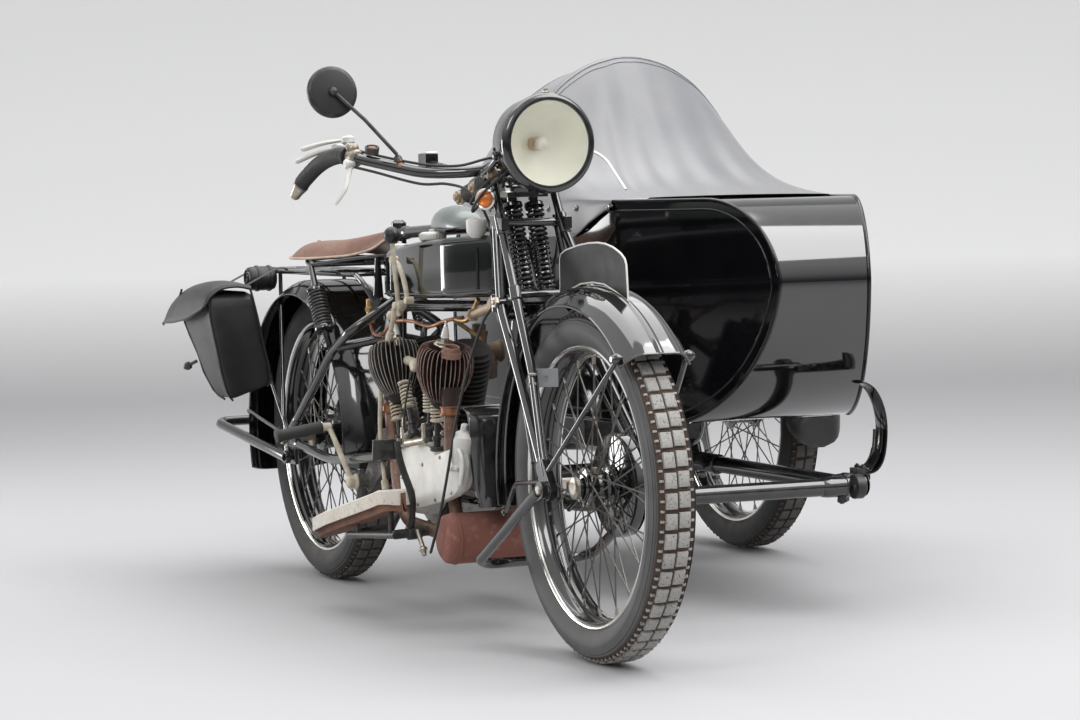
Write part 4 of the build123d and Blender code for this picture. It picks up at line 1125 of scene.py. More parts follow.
# %% Valve caps and plugs
caps, wells, plugs, bodies, bases = [], [], [], [], []
for side, cap_y, plug_y in ((-1, -42, 16), (1, 34, -18)):
    lean = (on_chest(side, 0, 0, 1) - on_chest(side, 0, 0, 0)).normalized()
    ring_at, plug_at = on_chest(side, -6, cap_y, 50), on_chest(side, 2, plug_y, 48)
    caps.append(turned(ring_at - lean * 10, ring_at,
        [(0, 21), (12, 21), (13, 17), (22, 17.5), (23, 16), (22, 13.5), (17, 13)], 28, True))
    wells.append(turned(ring_at - lean * 10, ring_at, [(0, 13.2), (14, 13.2), (15, 11), (14, 3)], 24))
    bases.append(turned(plug_at - lean * 12, plug_at,
        [(0, 24), (12, 24), (14, 19), (18, 19), (20, 12), (20, 1)], 28))
    plugs += [
        hexagon(plug_at + lean * 7, plug_at + lean * 30, 9, 9),
        turned(plug_at + lean * 38, plug_at + lean * 60,
            [(0, 4), (3, 4), (4, 3), (9, 3), (11, 4), (13, 2)], 14),
    ]
    bodies.append(turned(plug_at + lean * 15, plug_at + lean * 60,
        [(0, 8.5), (3, 9), (6, 7.4), (8, 8.2), (10, 6.8), (12, 7.4), (14, 6.2), (16, 6.6), (20, 5.2),
        (24, 4)], 20))
piece("valve_caps", caps, rib_cap_brown, smooth=50)
piece("valve_cap_wells", wells, soot_black, smooth=50)
piece("plug_bases", bases, old_nickel)
piece("plug_metal", plugs, bright_nickel)
piece("plug_porcelain", bodies, porcelain, smooth=60)

# %% [markdown]
# Below each valve stands a pale coil spring between two collars, and a dark guide goes from it down to
# the crankcase. A coil is a thin tube along a spiral route.

# %% Valve springs and tappets
SPRING_X = -80
spring_rows = [((-654, 419), (-640, 464)), ((-720, 450), (-702, 494)), ((-842, 448), (-844, 486)),
    ((-883, 430), (-886, 472))]
coils, guides, collars = [], [], []
for (foot_y, foot_z), (top_y, top_z) in spring_rows:
    foot = Vector((SPRING_X - 8, foot_y, foot_z))
    top = Vector((SPRING_X - 8, top_y, top_z))
    along = (top - foot).normalized()
    coils.append(coil(foot, top, 11.5, 2.4, 6, 16, 8))
    collars += [
        turned(foot - along * 6, foot, [(0, 9), (2, 13.5), (5, 14), (7, 12)], 24),
        turned(top, top + along, [(0, 12), (2, 15), (5, 15), (7, 10)], 24),
    ]
    guides.append(turned(foot - along * 66, foot,
        [(0, 14), (8, 14), (9, 8), (22, 8), (24, 10), (30, 10), (32, 5), (112, 4)], 20))
piece("valve_springs", coils, cream_paint, replaces="valve_gear")
piece("spring_collars", collars, cream_paint)
piece("tappet_guides", guides, satin_black)
inlet_nut = added(turned((-66, -764, 536), (-100, -764, 536),
    [(0, 9), (12, 9), (13, 13), (26, 13), (30, 10), (31, 3)], 24),
    pipe(smooth_route([(-76, -840, 548), (-72, -764, 538), (-76, -690, 544)], 8), 10, 14))
piece("inlet_nut", inlet_nut, cream_paint, bevel=0.5)
lifter = pipe(smooth_route([(-100, -774, 524), (-104, -752, 470), (-100, -722, 414), (-92, -712, 386)],
    8), 2.4, 8)
piece("lifter_wire", lifter, satin_black)

# %% [markdown]
# ## Crankcase and timing side
# The crankcase is cast aluminium in two halves. On its right the timing chest carries a wedge-shaped
# chain cover that runs forward to the magneto and ends in a rounded cap.

# %% Crankcase
def case(outline, x_from, x_to, soften=3):
    """A cast box across the machine whose two faces are drawn in a little."""
    middle = Vector((sum(y for y, z in outline) / len(outline), sum(z for y, z in outline) / len(outline)))
    reach_x = soften if x_to > x_from else -soften
    rings = []
    for x, shrink in ((x_from, 0.975), (x_from + reach_x, 1), (x_to - reach_x, 1), (x_to, 0.975)):
        rings.append([(x, middle.x + (y - middle.x) * shrink, middle.y + (z - middle.y) * shrink)
            for y, z in outline])
    return skinned(rings)


round_case = turned((-56, CRANK.y, CRANK.z), (56, CRANK.y, CRANK.z),
    [(0, 108), (4, 116), (12, 120), (50, 120), (52, 123), (60, 123), (62, 120), (100, 120), (108, 116),
    (112, 108)], 56)
lugs_of_case = added(case([(-1036, 282), (-1036, 300), (-900, 396), (-800, 404), (-630, 400), (-500, 330),
    (-500, 282)], -34, 34), bar((-40, -1036, 292), (40, -1036, 292), 11),
    bar((-40, -500, 300), (40, -500, 300), 13))
mouths = [turned(up_cylinder(86, side), up_cylinder(110, side), [(0, 70), (10, 66), (18, 66), (20, 60)],
    36) for side in (-1, 1)]
case_bolts = []
for k in range(12):
    a = 2 * pi * k / 12 + 0.2
    spot = Vector((-56, CRANK.y + 114 * cos(a), CRANK.z + 114 * sin(a)))
    case_bolts.append(hexagon(spot, spot + Vector((-1, 0, 0)), 6, 5))
piece("crankcase_castings", [round_case, lugs_of_case, *mouths,
    bar((56, *CRANK.yz), (70, *CRANK.yz), 34, sides=40)], cast_alloy, replaces="crankcase", bevel=1)
piece("crankcase_bolts", case_bolts, old_nickel)

# %% [markdown]
# The timing side is built in layers: a flat chest against the case, a wedge-shaped cover on it and a
# round cap at its front end. Screws in the cover's rim show where it opens.

# %% Timing chest, chain cover and magneto cap
CHEST = [(-662, 296), (-652, 340), (-664, 362), (-700, 374), (-745, 378), (-830, 370), (-872, 350),
    (-880, 300), (-862, 250), (-800, 224), (-740, 222), (-690, 244)]
WEDGE = [(-722, 300), (-728, 262), (-752, 243), (-802, 239), (-861, 246), (-971, 268), (-1030, 284),
    (-1056, 298), (-1074, 326), (-1082, 356), (-1074, 378), (-1050, 386), (-1010, 378), (-893, 352),
    (-790, 326), (-740, 314)]
timing = added(case(CHEST, -56, -86), case(WEDGE, -94, -114, 5),
    case([(y * 0.9 - 92, z * 0.8 + 62) for y, z in WEDGE], -80, -96))
cap_axis = Vector((0.02, -0.34, 0.94)).normalized()
cap_foot = Vector((-100, -1042, 350))
magneto_end = turned(cap_foot, cap_foot + cap_axis,
    [(0, 20), (24, 24), (54, 25), (64, 22), (70, 14), (72, 5)], 32)
ears = added(bar((-112, -1012, 340), (-116, -1062, 344), 6.5),
    bar((-100, -1058, 414), (-100, -1066, 432), 7),
    pipe(smooth_route([(-114, -1040, 392), (-116, -1074, 380), (-114, -1086, 350), (-112, -1066, 310)],
    6), 4, 10))
piece("timing_castings", [timing, magneto_end, ears], pale_alloy, replaces="timing_cover", bevel=2.5,
    smooth=45)
cover_screws = []
for y, z in ((-740, 300), (-750, 258), (-830, 250), (-930, 268), (-1020, 290), (-1060, 340), (-960, 358),
        (-860, 336)):
    cover_screws.append(turned((-114, y, z), (-117, y, z), [(0, 4), (2, 4), (3, 2.5)], 12))
piece("cover_screws", cover_screws, old_nickel)
magneto = added(
    case([(-1050, 330), (-1050, 392), (-1000, 404), (-960, 392), (-960, 330)], -50, 30),
    bar((-50, -1005, 366), (46, -1005, 366), 33, sides=28), bar((46, -1005, 366), (58, -1005, 366), 22),
)
piece("magneto_body", magneto, satin_black, bevel=1.5)
oil_pump = added(bar((-90, -704, 360), (-90, -704, 404), 11), bar((-90, -704, 404), (-90, -704, 424), 7),
    bar((-98, -734, 388), (-82, -676, 388), 5), hexagon((-90, -704, 420), (-90, -704, 440), 7, 5),
    bar((-104, -748, 372), (-92, -830, 384), 8), bar((-98, -836, 384), (-98, -836, 420), 6),
    hexagon((-104, -700, 372), (-120, -700, 372), 9, 6))
piece("oil_pump", oil_pump, old_nickel, bevel=0.5)
print("engine", triangle_count["front_ribs"])

# %% [markdown]
# ## Exhaust
# A pipe leaves the front of each valve chest through a copper-coloured ring nut. Both run down behind the
# cover into one wide silencer box across the bottom of the machine. The heat has baked them brown and
# brick red.

# %% Pipes and silencer
FRONT_PIPE = [(-80, -938, 500), (-80, -938, 400), (-80, -940, 300), (-84, -976, 214)]
REAR_PIPE = [(-80, -597, 490), (-80, -594, 420), (-82, -612, 372), (-100, -685, 258), (-104, -740, 206),
    (-100, -960, 196)]
pipes = [pipe(bent_route(FRONT_PIPE, 40, 8), 14, 20), pipe(bent_route(REAR_PIPE, 44, 8), 14, 20)]
ports = [turned((-80, y, 500), (-80, y, 440), [(0, 24), (10, 21), (24, 18), (34, 17), (44, 17)], 28)
    for y in (-940, -600)]
collar_rows = []
for y, z in ((-938, 462), (-596, 448)):
    top = Vector((-80, y, z))
    down = Vector((0, 0, -1))
    collar_rows.append(turned(top, top + down,
        [(0, 17), (2, 21), (4, 21), (5, 19), (16, 19), (17, 21), (19, 21), (21, 16)], 28))
piece("exhaust_ports", ports, rusty_iron, smooth=60)
piece("exhaust_pipes", pipes, pipe_brown, replaces="exhaust", smooth=50)
piece("exhaust_ring_nuts", collar_rows, copper)
SILENCER = (-1000, 194)
box_profile = [(-4, 6), (-3, 26), (0, 40), (7, 49), (18, 52), (238, 52), (249, 49), (256, 40), (259, 26),
    (260, 6)]
silencer_box = turned((-128, *SILENCER), (128, *SILENCER), box_profile, 56)
seams = [turned((x, *SILENCER), (x + 6, *SILENCER), [(0, 51.5), (1.5, 53.4), (4.5, 53.4), (6, 51.5)],
    56) for x in (-108, 102)]
piece("silencer_box", [silencer_box, *seams], baked_steel, smooth=50)

# %% [markdown]
# ## Gearbox, drives and carburettor
# The primary chain runs in a flat pressed case on the left, the gearbox sits behind the seat tube, and
# the final chain runs back to the rear wheel inside the left stays.

# %% Gearbox and primary case
gear_shell = case(oval((-545, 352), (-545, 404), 60, 50, 48), -44, 56, 5)
gear_ribs = [case(oval((-545, 352), (-545, 404), 61.5, 51.5, 48), x, x + 3, 0.5) for x in (-20, 6, 32)]
kick_boss = added(case(oval((-545, 346), (-452, 268), 44, 26, 48), -44, -84, 5),
    turned((-80, -452, 268), (-114, -452, 268), [(0, 24), (4, 22), (8, 16), (32, 15), (34, 11)], 28))
plate_nuts = []
for k in range(6):
    y, z = -545 + 46 * cos(k * pi / 3), 376 + 62 * sin(k * pi / 3)
    plate_nuts.append(hexagon((-52, y, z), (-60, y, z), 6, 5))
end_plate = added(case(oval((-545, 352), (-545, 404), 50, 40, 40), -52, -42, 3), *plate_nuts)
piece("gearbox_castings", [gear_shell, *gear_ribs, kick_boss, end_plate], dull_casting,
    replaces="gearbox", bevel=1)
primary = case(oval((-765, 312), (-545, 352), 88, 72, 56), 72, 98, 5)
bead = [pipe([(85, *p) for p in oval((-765, 312), (-545, 352), 89.5, 73.5, 56)], 3, 8, closed=True)]
domes = added(turned((98, -765, 312), (112, -765, 312), [(0, 50), (6, 46), (8, 30), (9, 4)], 36),
    turned((98, -545, 352), (112, -545, 352), [(0, 60), (7, 54), (10, 34), (11, 4)], 36))
piece("primary_case_cover", [primary, domes, *bead], enamel, replaces="primary_case", bevel=1)

# %% [markdown]
# The final chain has 136 links set along the line round both sprockets. Narrow and wide links take turns,
# as the inner and outer plates of a real chain do, and a pin joins each pair.

# %% Final chain
GEAR_SPROCKET = (-545, 352)
LINK_COUNT = 136
CHAIN_X = 65
PLATE_HALF_HEIGHT, PLATE_THICKNESS = 3.2, 1.3
chain_path = [Vector(p) for p in oval((0, 335), GEAR_SPROCKET, 91, 50, 60)]
chain_length = sum((b - a).length for a, b in zip(chain_path, chain_path[1:] + chain_path[:1]))
links = []
step = chain_length / LINK_COUNT
walked, k = 0.0, 0
for a, b in zip(chain_path, chain_path[1:] + chain_path[:1]):
    run = (b - a).length
    while k * step < walked + run:
        t = (k * step - walked) / run
        at = a.lerp(b, t)
        d = (b - a).normalized()
        up = Vector((-d.y, d.x))
        wide = 4.2 if k % 2 else 2.4
        for s in (-1, 1):
            x = CHAIN_X + s * wide
            reach, rise = d * (step * 0.72), up * PLATE_HALF_HEIGHT
            corners = [at - reach - rise, at + reach - rise, at + reach + rise, at - reach + rise]
            links.append(skinned([[(x, *c) for c in corners],
                [(x + s * PLATE_THICKNESS, *c) for c in corners]]))
        links.append(bar((60, *at), (70, *at), 2, sides=8))
        k += 1
    walked += run
guard_top = slab([(-450, 440), (-448, 450), (-60, 462), (-30, 452), (-30, 444), (-60, 450), (-440, 438)],
    54, 92)
guard_side = slab([(-450, 412), (-450, 448), (-60, 461), (-32, 452), (-32, 424), (-80, 430)], 90, 92)
piece("final_chain", links, link_steel, replaces="rear_chain")
lug_arm = sheet_slab([(92, -430, 440), (92, -410, 440), (108, -410, 322), (108, -430, 322)], 3)
piece("chain_guard", [guard_top, guard_side, lug_arm], enamel, bevel=0.6)
piece("gear_sprocket", toothed((0, -545, 352), 62.5, 67.5, 12, 49, 20), link_steel)
print("chain links", k)

# %% [markdown]
# The carburettor has a float bowl, a throat across the machine and a mixing chamber. All three are turned
# shapes that cut through each other, because castings like these have no seams between them.

# %% Carburettor
bowl = turned((78, -765, 500), (78, -765, 600),
    [(0, 6), (1, 14), (4, 20), (30, 21), (34, 22.5), (37, 22.5), (38, 20), (58, 20), (60, 12), (72, 10),
    (74, 4)], 28)
throat = turned((110, -765, 560), (40, -765, 560),
    [(0, 24), (3, 25), (10, 20), (52, 18), (54, 22), (60, 22), (61, 16)], 28)
mix = turned((60, -765, 530), (60, -765, 632),
    [(0, 11), (60, 17), (66, 19), (74, 19), (75, 15), (88, 15), (90, 9)], 24)
inlet = pipe(smooth_route([(40, -830, 520), (40, -765, 556), (40, -700, 520)], 8), 14, 16)
piece("carburettor_parts", [bowl, throat, mix], dark_bronze, replaces="carburettor", smooth=45)
piece("inlet_pipe", inlet, satin_black)

# %% [markdown]
# ## Petrol tank
# The tank is soldered sheet with flat sides. It hangs between the two upper frame tubes, and in front of
# an upright crease its sides turn in towards the head. It has one broad flat filler cap and a smaller one
# behind.


# %% Tank
def rounded_ring(y, half, low, high, edge=16, steps=4):
    """A rounded-rectangle section of the tank at one place along it."""
    ring = []
    for cx, cz, first in ((half - edge, high - edge, 0), (-half + edge, high - edge, 90),
            (-half + edge, low + edge, 180), (half - edge, low + edge, 270)):
        for i in range(steps + 1):
            a = radians(first + 90 * i / steps)
            ring.append((cx + edge * cos(a), y, cz + edge * sin(a)))
    return ring


TANK = [(-1114, 38, 706, 792, 14), (-1112, 44, 698, 801, 16), (-1106, 50, 691, 808, 17),
    (-1094, 56, 688, 813, 17), (-915, 75, 680, 806, 17), (-908, 77, 680, 806, 17),
    (-900, 77.5, 680, 805, 17), (-760, 77, 677, 798, 17), (-560, 66, 674, 782, 17),
    (-524, 60, 673, 775, 17), (-508, 52, 675, 770, 16), (-502, 42, 680, 764, 14)]
piece("tank_shell", skinned([rounded_ring(*row) for row in TANK]), tank_enamel, replaces="petrol_tank",
    smooth=24)
tank_seam = [both(pipe([(h - 0.5, y, low + 9) for y, h, low, *_ in TANK[2:-2]], 2, 8))]
straps = []
for y in (-1060, -560):
    h, low, high = (60, 686, 802) if y < -1000 else (66, 674, 778)
    straps.append(pipe([(-h - 1, y, high - 16), (-h - 1, y, low + 16)], 3, 8))
piece("tank_seams", [*tank_seam, *straps], enamel)
cap_profile = [(0, 20), (12, 20), (12.5, 25), (15, 28), (26, 28), (29, 26), (31, 20), (31.5, 8), (36, 7),
    (37, 2)]
caps = [turned((-40, -766, 786), (-40, -766, 806), cap_profile, 40),
        turned((-36, -560, 764), (-36, -560, 800), [(d * 0.85, r * 0.66) for d, r in cap_profile], 36)]
knurls = []
for k in range(30):
    a = 2 * pi * k / 30
    spot = Vector((-40 + 28 * cos(a), -766 + 28 * sin(a), 802))
    knurls.append(bar(spot, spot + Vector((0, 0, 9)), 1.2, sides=6))
piece("filler_caps", [*caps, *knurls], pale_alloy)
union = added(bar((-50, -402, 668), (-50, -402, 622), 9),
    hexagon((-50, -402, 640), (-50, -402, 660), 12, 10),
    hexagon((-50, -402, 622), (-50, -402, 606), 11, 9), bar((0, -420, 640), (-50, -404, 640), 7))
piece("oil_union", union, brass, bevel=0.5)
oil_line = pipe(smooth_route([(-50, -402, 612), (-50, -420, 592), (-54, -480, 590), (-60, -577, 622),
    (-58, -680, 626), (-56, -771, 618), (-50, -851, 632), (-30, -900, 640)], 6), 4, 10)
fuel_line = pipe(smooth_route([(-36, -1000, 680), (-40, -960, 642), (-42, -930, 634), (-30, -850, 634),
    (20, -800, 610), (70, -770, 580)], 6), 5, 10)
piece("oil_line", oil_line, copper)
piece("fuel_line", fuel_line, brass)
bracket = added(pipe([(-50, -1131, 671), (-50, -1060, 660), (-52, -1006, 648)], [11, 10, 8], 14),
    hexagon((-52, -1010, 649), (-52, -992, 645), 14, 9),
    turned((-40, -1125, 672), (-66, -1125, 672), [(0, 14), (3, 17), (20, 17), (24, 13), (26, 6)], 28))
piece("steering_lug", bracket, tan_metal, bevel=0.8)
dome_rows = [(-932, 4, 832), (-924, 22, 844), (-900, 33, 856), (-850, 40, 868), (-800, 40, 872),
    (-750, 34, 868), (-715, 24, 860), (-698, 8, 846)]
dome = []
for y, half, top in dome_rows:
    dome.append([(half * cos(pi * i / 16), y, 826 + (top - 826) * sin(pi * i / 16)) for i in range(17)])
piece("tank_top_tin", skinned(dome), pale_tin, smooth=70)

# %% [markdown]
# ## Saddle
# A thick hide is stretched over a frame and hangs down a little at its edges, so the saddle is one
# crowned skin with a skirt. It is narrow and high in front, and wide and slightly hollow behind.

# %% Saddle skin
SADDLE = [(-448, 14, 812, 802), (-440, 20, 816, 798), (-420, 26, 817, 790), (-390, 33, 815, 778),
    (-350, 46, 811, 768), (-300, 66, 806, 760), (-250, 90, 803, 757), (-200, 110, 801, 755),
    (-150, 125, 800, 754), (-110, 130, 799, 754), (-80, 126, 797, 755), (-60, 114, 794, 757),
    (-46, 90, 789, 762), (-40, 56, 783, 768)]
LEATHER = 5
HALF_STEPS = 12


def saddle_ring(y, half, crown, edge):
    """A closed section: over the top from side to side and back underneath."""
    dip = 5 * max(0, 1 - abs(y + 170) / 160)
    top, under = [], []
    for i in range(-HALF_STEPS, HALF_STEPS + 1):
        t = i / HALF_STEPS
        x = half * sin(t * pi / 2) * (1.0 if abs(t) < 0.92 else 0.985)
        z = edge + (crown - edge) * (1 - abs(sin(t * pi / 2)) ** 4.2) - dip * (1 - t * t)
        top.append((x, y, z))
        under.append((x * (1 - LEATHER / max(half, 20)), y, z - LEATHER * (1 if abs(t) < 0.9 else 0.2)))
    return top + list(reversed(under))


piece("saddle_skin", skinned([saddle_ring(*row) for row in SADDLE]), tan_leather, replaces="saddle",
    subdivide=1, smooth=70)
# A pale line along the skirt's lower edge is a painted highlight of the lit skirt.
rim_line = [(-h * 0.985, y, edge + 2.5) for y, h, crown, edge in SADDLE]
rim_line += [(h * 0.985, y, edge + 2.5) for y, h, crown, edge in reversed(SADDLE)]
skirt_highlight_line = pipe(smooth_route(rim_line, 4, closed=True), 3, 8, closed=True)
piece("saddle_skirt_highlight", skirt_highlight_line, painted_skirt_highlight)
rivets = [turned((x, y, z), (x, y, z + 4), [(0, 5), (1.5, 4.5), (3, 2)], 12)
    for x, y, z in ((-44, -58, 793), (-15, -50, 789), (15, -50, 789), (44, -58, 793), (0, -436, 816))]
piece("saddle_rivets", rivets, brass)

# %% [markdown]
# Two close-wound black springs stand on the seat stays and carry the back of the saddle's frame. A third,
# short one sits under the nose on a cone.

# %% Saddle springs
coils, irons = [], []
for s in (-1, 1):
    foot, top = Vector((s * 120, -290, 602)), Vector((s * 120, -244, 680))
    along = (top - foot).normalized()
    coils.append(coil(foot, top, 19, 2.9, 11, 16, 8))
    irons += [
        turned(foot - along * 10, foot, [(0, 12), (3, 22), (8, 23), (12, 21), (13, 8)], 28),
        turned(top, top + along, [(0, 8), (1, 22), (6, 23), (12, 18), (14, 8)], 28),
        pipe([top + along * 4, Vector((s * 116, -200, 742))], [9, 6], 12),
        pipe([foot - along * 4, Vector((s * 114, -300, 566)), Vector((s * 112, -300, 548))], 8, 12),
        hexagon((s * 122, -300, 560), (s * 140, -300, 560), 9, 7),
        pipe(bent_route([(s * 116, -200, 742), (s * 104, -130, 750), (s * 60, -80, 754), (0, -66, 756)],
            30), 5, 10),
        pipe(bent_route([(s * 116, -200, 742), (s * 60, -330, 756), (0, -450, 766)], 30), 5, 10),
    ]
irons += [bar((-118, -200, 744), (118, -200, 744), 7), bar((0, -452, 752), (0, -200, 750), 7)]
nose_cone = turned((-30, -400, 640), (-30, -404, 760), [(0, 22), (26, 22), (30, 12), (118, 6)], 24)
nose_coil = coil((-30, -400, 636), (-30, -401, 662), 19, 2.6, 4, 16, 8)
piece("saddle_coils", [*coils, nose_coil], satin_black, replaces="saddle_springs")
piece("saddle_irons", [*irons, nose_cone], enamel)

# %% [markdown]
# ## Luggage rack and bag
# The rack is light round bar over the mudguard. One leather bag hangs at its right. Its lid is one domed
# flap, and under the lid the bag narrows to its bottom, with a welt along each corner and a slight sag in
# its faces.

# %% Rack
rail = [(80, -400, 722), (80, 320, 722), (-80, 320, 722), (-80, -400, 722)]
bars_of_rack = [pipe(bent_route(rail, 26), 6, 12)]
for y in (-390, -170, -50, 75, 200):
    bars_of_rack.append(pipe([(-80, y, 722), (80, y, 722)], 5, 10))
for x in (-30, 30):
    bars_of_rack.append(pipe([(x, -180, 724), (x, 318, 724)], 4.5, 10))
bars_of_rack += [both(
    pipe(bent_route([(80, 125, 722), (80, 125, 671), (112, 35, 375), (112, 6, 346)], 14), 5, 10),
    hexagon((117, 6, 346), (130, 6, 346), 8, 6),
    pipe(bent_route([(80, -395, 722), (78, -440, 704), (60, -452, 664)], 18), 6, 10),
)]
piece("rack_bars", bars_of_rack, enamel, replaces="luggage_rack")

# %% [markdown]
# A small rolled hide with the tools in it is strapped against the rail of the rack, beside the bag. Its
# free edge shows at the end as a spiral.

# %% Tool roll
ROLL = (160, 706)
roll_rows = [(0, 4), (0.5, 22), (3, 26), (9, 28), (36, 29), (60, 28), (66, 26), (69, 20), (69.5, 4)]
roll = turned((-152, *ROLL), (-82, *ROLL), roll_rows, 40)
loops = [turned((x, *ROLL), (x + 8, *ROLL), [(0, 28.5), (1.5, 31), (6.5, 31), (8, 28.5)], 32)
    for x in (-132, -102)]
spiral = [(-152.6, ROLL[0] + (4 + k * 0.5) * cos(k * 0.42), ROLL[1] + (4 + k * 0.5) * sin(k * 0.42))
    for k in range(36)]
piece("tool_roll", [roll, *loops], black_leather, smooth=60)
piece("tool_roll_edge", pipe(spiral, 1.6, 6), black_leather)

# %% [markdown]
# The bag is a stack of rounded outlines, from its narrow bottom to its wide top. The lid is a grid of
# points drawn finer along smooth lines, and thin tubes along the corners make the welts.

# %% Pannier bag
BAG = [(426, -234, -146, 44, 112, 30), (434, -242, -140, 41, 130, 28), (448, -250, -138, 39, 148, 24),
    (490, -262, -142, 36, 182, 14), (530, -269, -150, 34, 198, 6), (575, -278, -158, 34, 232, 0),
    (620, -286, -167, 35, 260, 0), (664, -288, -176, 38, 276, 0), (684, -282, -180, 42, 272, 0)]


def bag_ring(z, x_out, x_in, y_front, y_back, rise, corner=10, steps=4, belly=5):
    """A rounded outline with slightly hollow faces, which rises towards the wheel."""
    corners = [(x_out, y_front), (x_in, y_front), (x_in, y_back), (x_out, y_back)]
    middle = Vector(((x_out + x_in) / 2, (y_front + y_back) / 2))
    r = min(corner, (y_back - y_front) * 0.4)
    ring = []
    for k, (x, y) in enumerate(corners):
        inward = Vector((1 if x < middle.x else -1, 1 if y < middle.y else -1))
        c = Vector((x, y)) + inward * r
        first = (180, 270, 0, 90)[k]
        for i in range(steps + 1):
            a = radians(first + 90 * i / steps)
            ring.append((c.x + r * cos(a), c.y + r * sin(a),
                z + rise * (c.x + r * cos(a) - x_out) / (x_in - x_out)))
        nxt = corners[(k + 1) % 4]
        for t in (0.3, 0.5, 0.7):
            p = Vector((x, y)).lerp(Vector(nxt), t)
            pull = (middle - p).normalized() * belly * (1 - abs(t - 0.5) * 1.6)
            ring.append((p.x + pull.x, p.y + pull.y, z + rise * (p.x + pull.x - x_out) / (x_in - x_out)))
    return ring


piece("bag_body", skinned([bag_ring(*row) for row in BAG]), black_leather, replaces="pannier_bag",
    subdivide=1, smooth=60)
LID_ROWS = [
    [(-188, 26, 687), (-221, 24, 693), (-258, 24, 689), (-284, 24, 673), (-300, 26, 649)],
    [(-182, 40, 693), (-221, 38, 701), (-262, 38, 697), (-290, 38, 677), (-306, 40, 643)],
    [(-178, 120, 695), (-221, 120, 705), (-262, 120, 699), (-293, 124, 669), (-311, 130, 621)],
    [(-178, 200, 691), (-221, 205, 701), (-264, 210, 693), (-297, 216, 661), (-316, 224, 609)],
    [(-180, 280, 681), (-221, 288, 691), (-264, 292, 681), (-298, 296, 649), (-320, 296, 605)],
    [(-182, 292, 669), (-221, 302, 677), (-264, 306, 667), (-298, 306, 639), (-318, 302, 599)],
]
THICK = 3.5
lid_top = [smooth_route(row, 4) for row in LID_ROWS]
columns = list(zip(*lid_top))
fine_columns = [smooth_route(column, 4) for column in columns]
sections = []
for column in fine_columns:
    sections.append([*column, *[p - Vector((0, 0, THICK)) for p in reversed(column)]])
piece("bag_lid", skinned(sections), black_leather, smooth=60)
welts = [pipe([Vector((row[1] + 2, row[3] + 2, row[0])) for row in BAG], 2.6, 8),
    pipe([Vector((row[1] + 2, row[4] - 2, row[0])) for row in BAG], 2.6, 8),
    pipe([Vector((row[2] - 2, row[3] + 2, row[0] + row[5])) for row in BAG], 2.6, 8)]
welts += [pipe([column[0] for column in fine_columns], 2.4, 8), pipe(fine_columns[-1], 2.4, 8)]
piece("bag_welts", welts, black_leather)
piece("bag_stud", [turned((-312, 110, 512), (-330, 126, 500),
    [(0, 5), (3, 9), (10, 10), (16, 7), (20, 3)], 18), bar((-300, 100, 520), (-322, 118, 506), 4)],
    satin_black)
hooks = []
for y in (80, 230):
    hooks.append(pipe(smooth_route([(-182, y, 692), (-150, y, 708), (-104, y, 729), (-80, y, 729),
        (-74, y, 722)], 5), 8, 8, flat=0.25))
piece("bag_hangers", hooks, black_leather)

# %% [markdown]
# ## Controls
# Rods and levers do what cables do on later machines. The gear lever stands at the right of the tank with
# a black ball on it, and a long bent rod runs from it down to the gearbox. The footboards are pale
# castings with a deep rim and a rusty underside.

# %% Gear lever and rod
lever = added(pipe(bent_route([(-108, -703, 802), (-105, -706, 740), (-101, -708, 690), (-98, -706, 640)],
    20), 5.5, 12, flat=0.7), turned((-84, -706, 662), (-112, -706, 662),
    [(0, 9), (6, 12), (18, 12), (20, 9), (26, 8), (28, 4)], 24),
    turned((-84, -660, 640), (-108, -660, 640), [(0, 8), (16, 10), (20, 9), (24, 4)], 24),
    bar((-84, -706, 662), (-84, -660, 640), 6))
long_rod = pipe(bent_route([(-104, -700, 652), (-104, -668, 606), (-104, -636, 556), (-106, -606, 492),
    (-106, -592, 390), (-106, -616, 268)], 26), 5, 12)
forks = added(bar((-104, -672, 606), (-104, -655, 586), 8), bar((-106, -612, 284), (-106, -618, 262), 8),
    pipe([(-104, -700, 660), (-104, -690, 632)], 7, 12))
gate = added(pipe(bent_route([(-92, -664, 758), (-94, -700, 752), (-94, -730, 720), (-94, -752, 672)],
    30), 6, 12, flat=0.6), bar((-82, -752, 674), (-102, -752, 674), 8),
    bar((-82, -666, 758), (-100, -666, 758), 9))
piece("gear_rods", [lever, long_rod, forks, gate], cream_paint, replaces="controls", bevel=0.4)
knob = turned((-108, -703, 794), (-108, -703, 830),
    [(0, 5), (2, 8), (4, 11.5), (8, 15), (13, 17.2), (18, 17.6), (24, 16.6), (29, 14), (33, 9.5), (35, 5),
    (35.6, 1)], 32)
piece("gear_knob", knob, knob_black, smooth=60)

# %% [markdown]
# Each footboard is a shallow tray that rises towards the front, with a rim that turns down all round.
# Rods under it tie it to the frame. The brake pedal, its long cable and the kick starter are made here
# too.

# %% Footboards and pedals
BOARD_ROWS = ((-932, 304, 30), (-928, 305, 18), (-920, 306, 9), (-906, 305, 3), (-886, 303, 0),
    (-840, 292, 0), (-700, 262, 0), (-560, 232, 0), (-490, 214, 0), (-468, 209, 3), (-456, 206, 9),
    (-448, 204, 18), (-444, 203, 30))
top, low = [], []
for y, rise, inset in BOARD_ROWS:
    z = rise - 12
    inner, outer = 146 + inset, 226 - inset
    top.append([(inner, y, z - 30), (inner, y, z - 3), (inner + 3, y, z), (outer - 3, y, z),
        (outer, y, z - 3), (outer, y, z - 30), (outer - 4, y, z - 30), (outer - 5, y, z - 5),
        (inner + 5, y, z - 5), (inner + 4, y, z - 30)])
    low.append([(inner + 6, y, z - 6), (outer - 6, y, z - 6), (outer - 14, y, z - 44),
        (inner + 10, y, z - 40)])
piece("footboard_tops", both(skinned(top)), board_white, bevel=1.5)
piece("footboard_undersides", both(skinned(low)), board_rust)
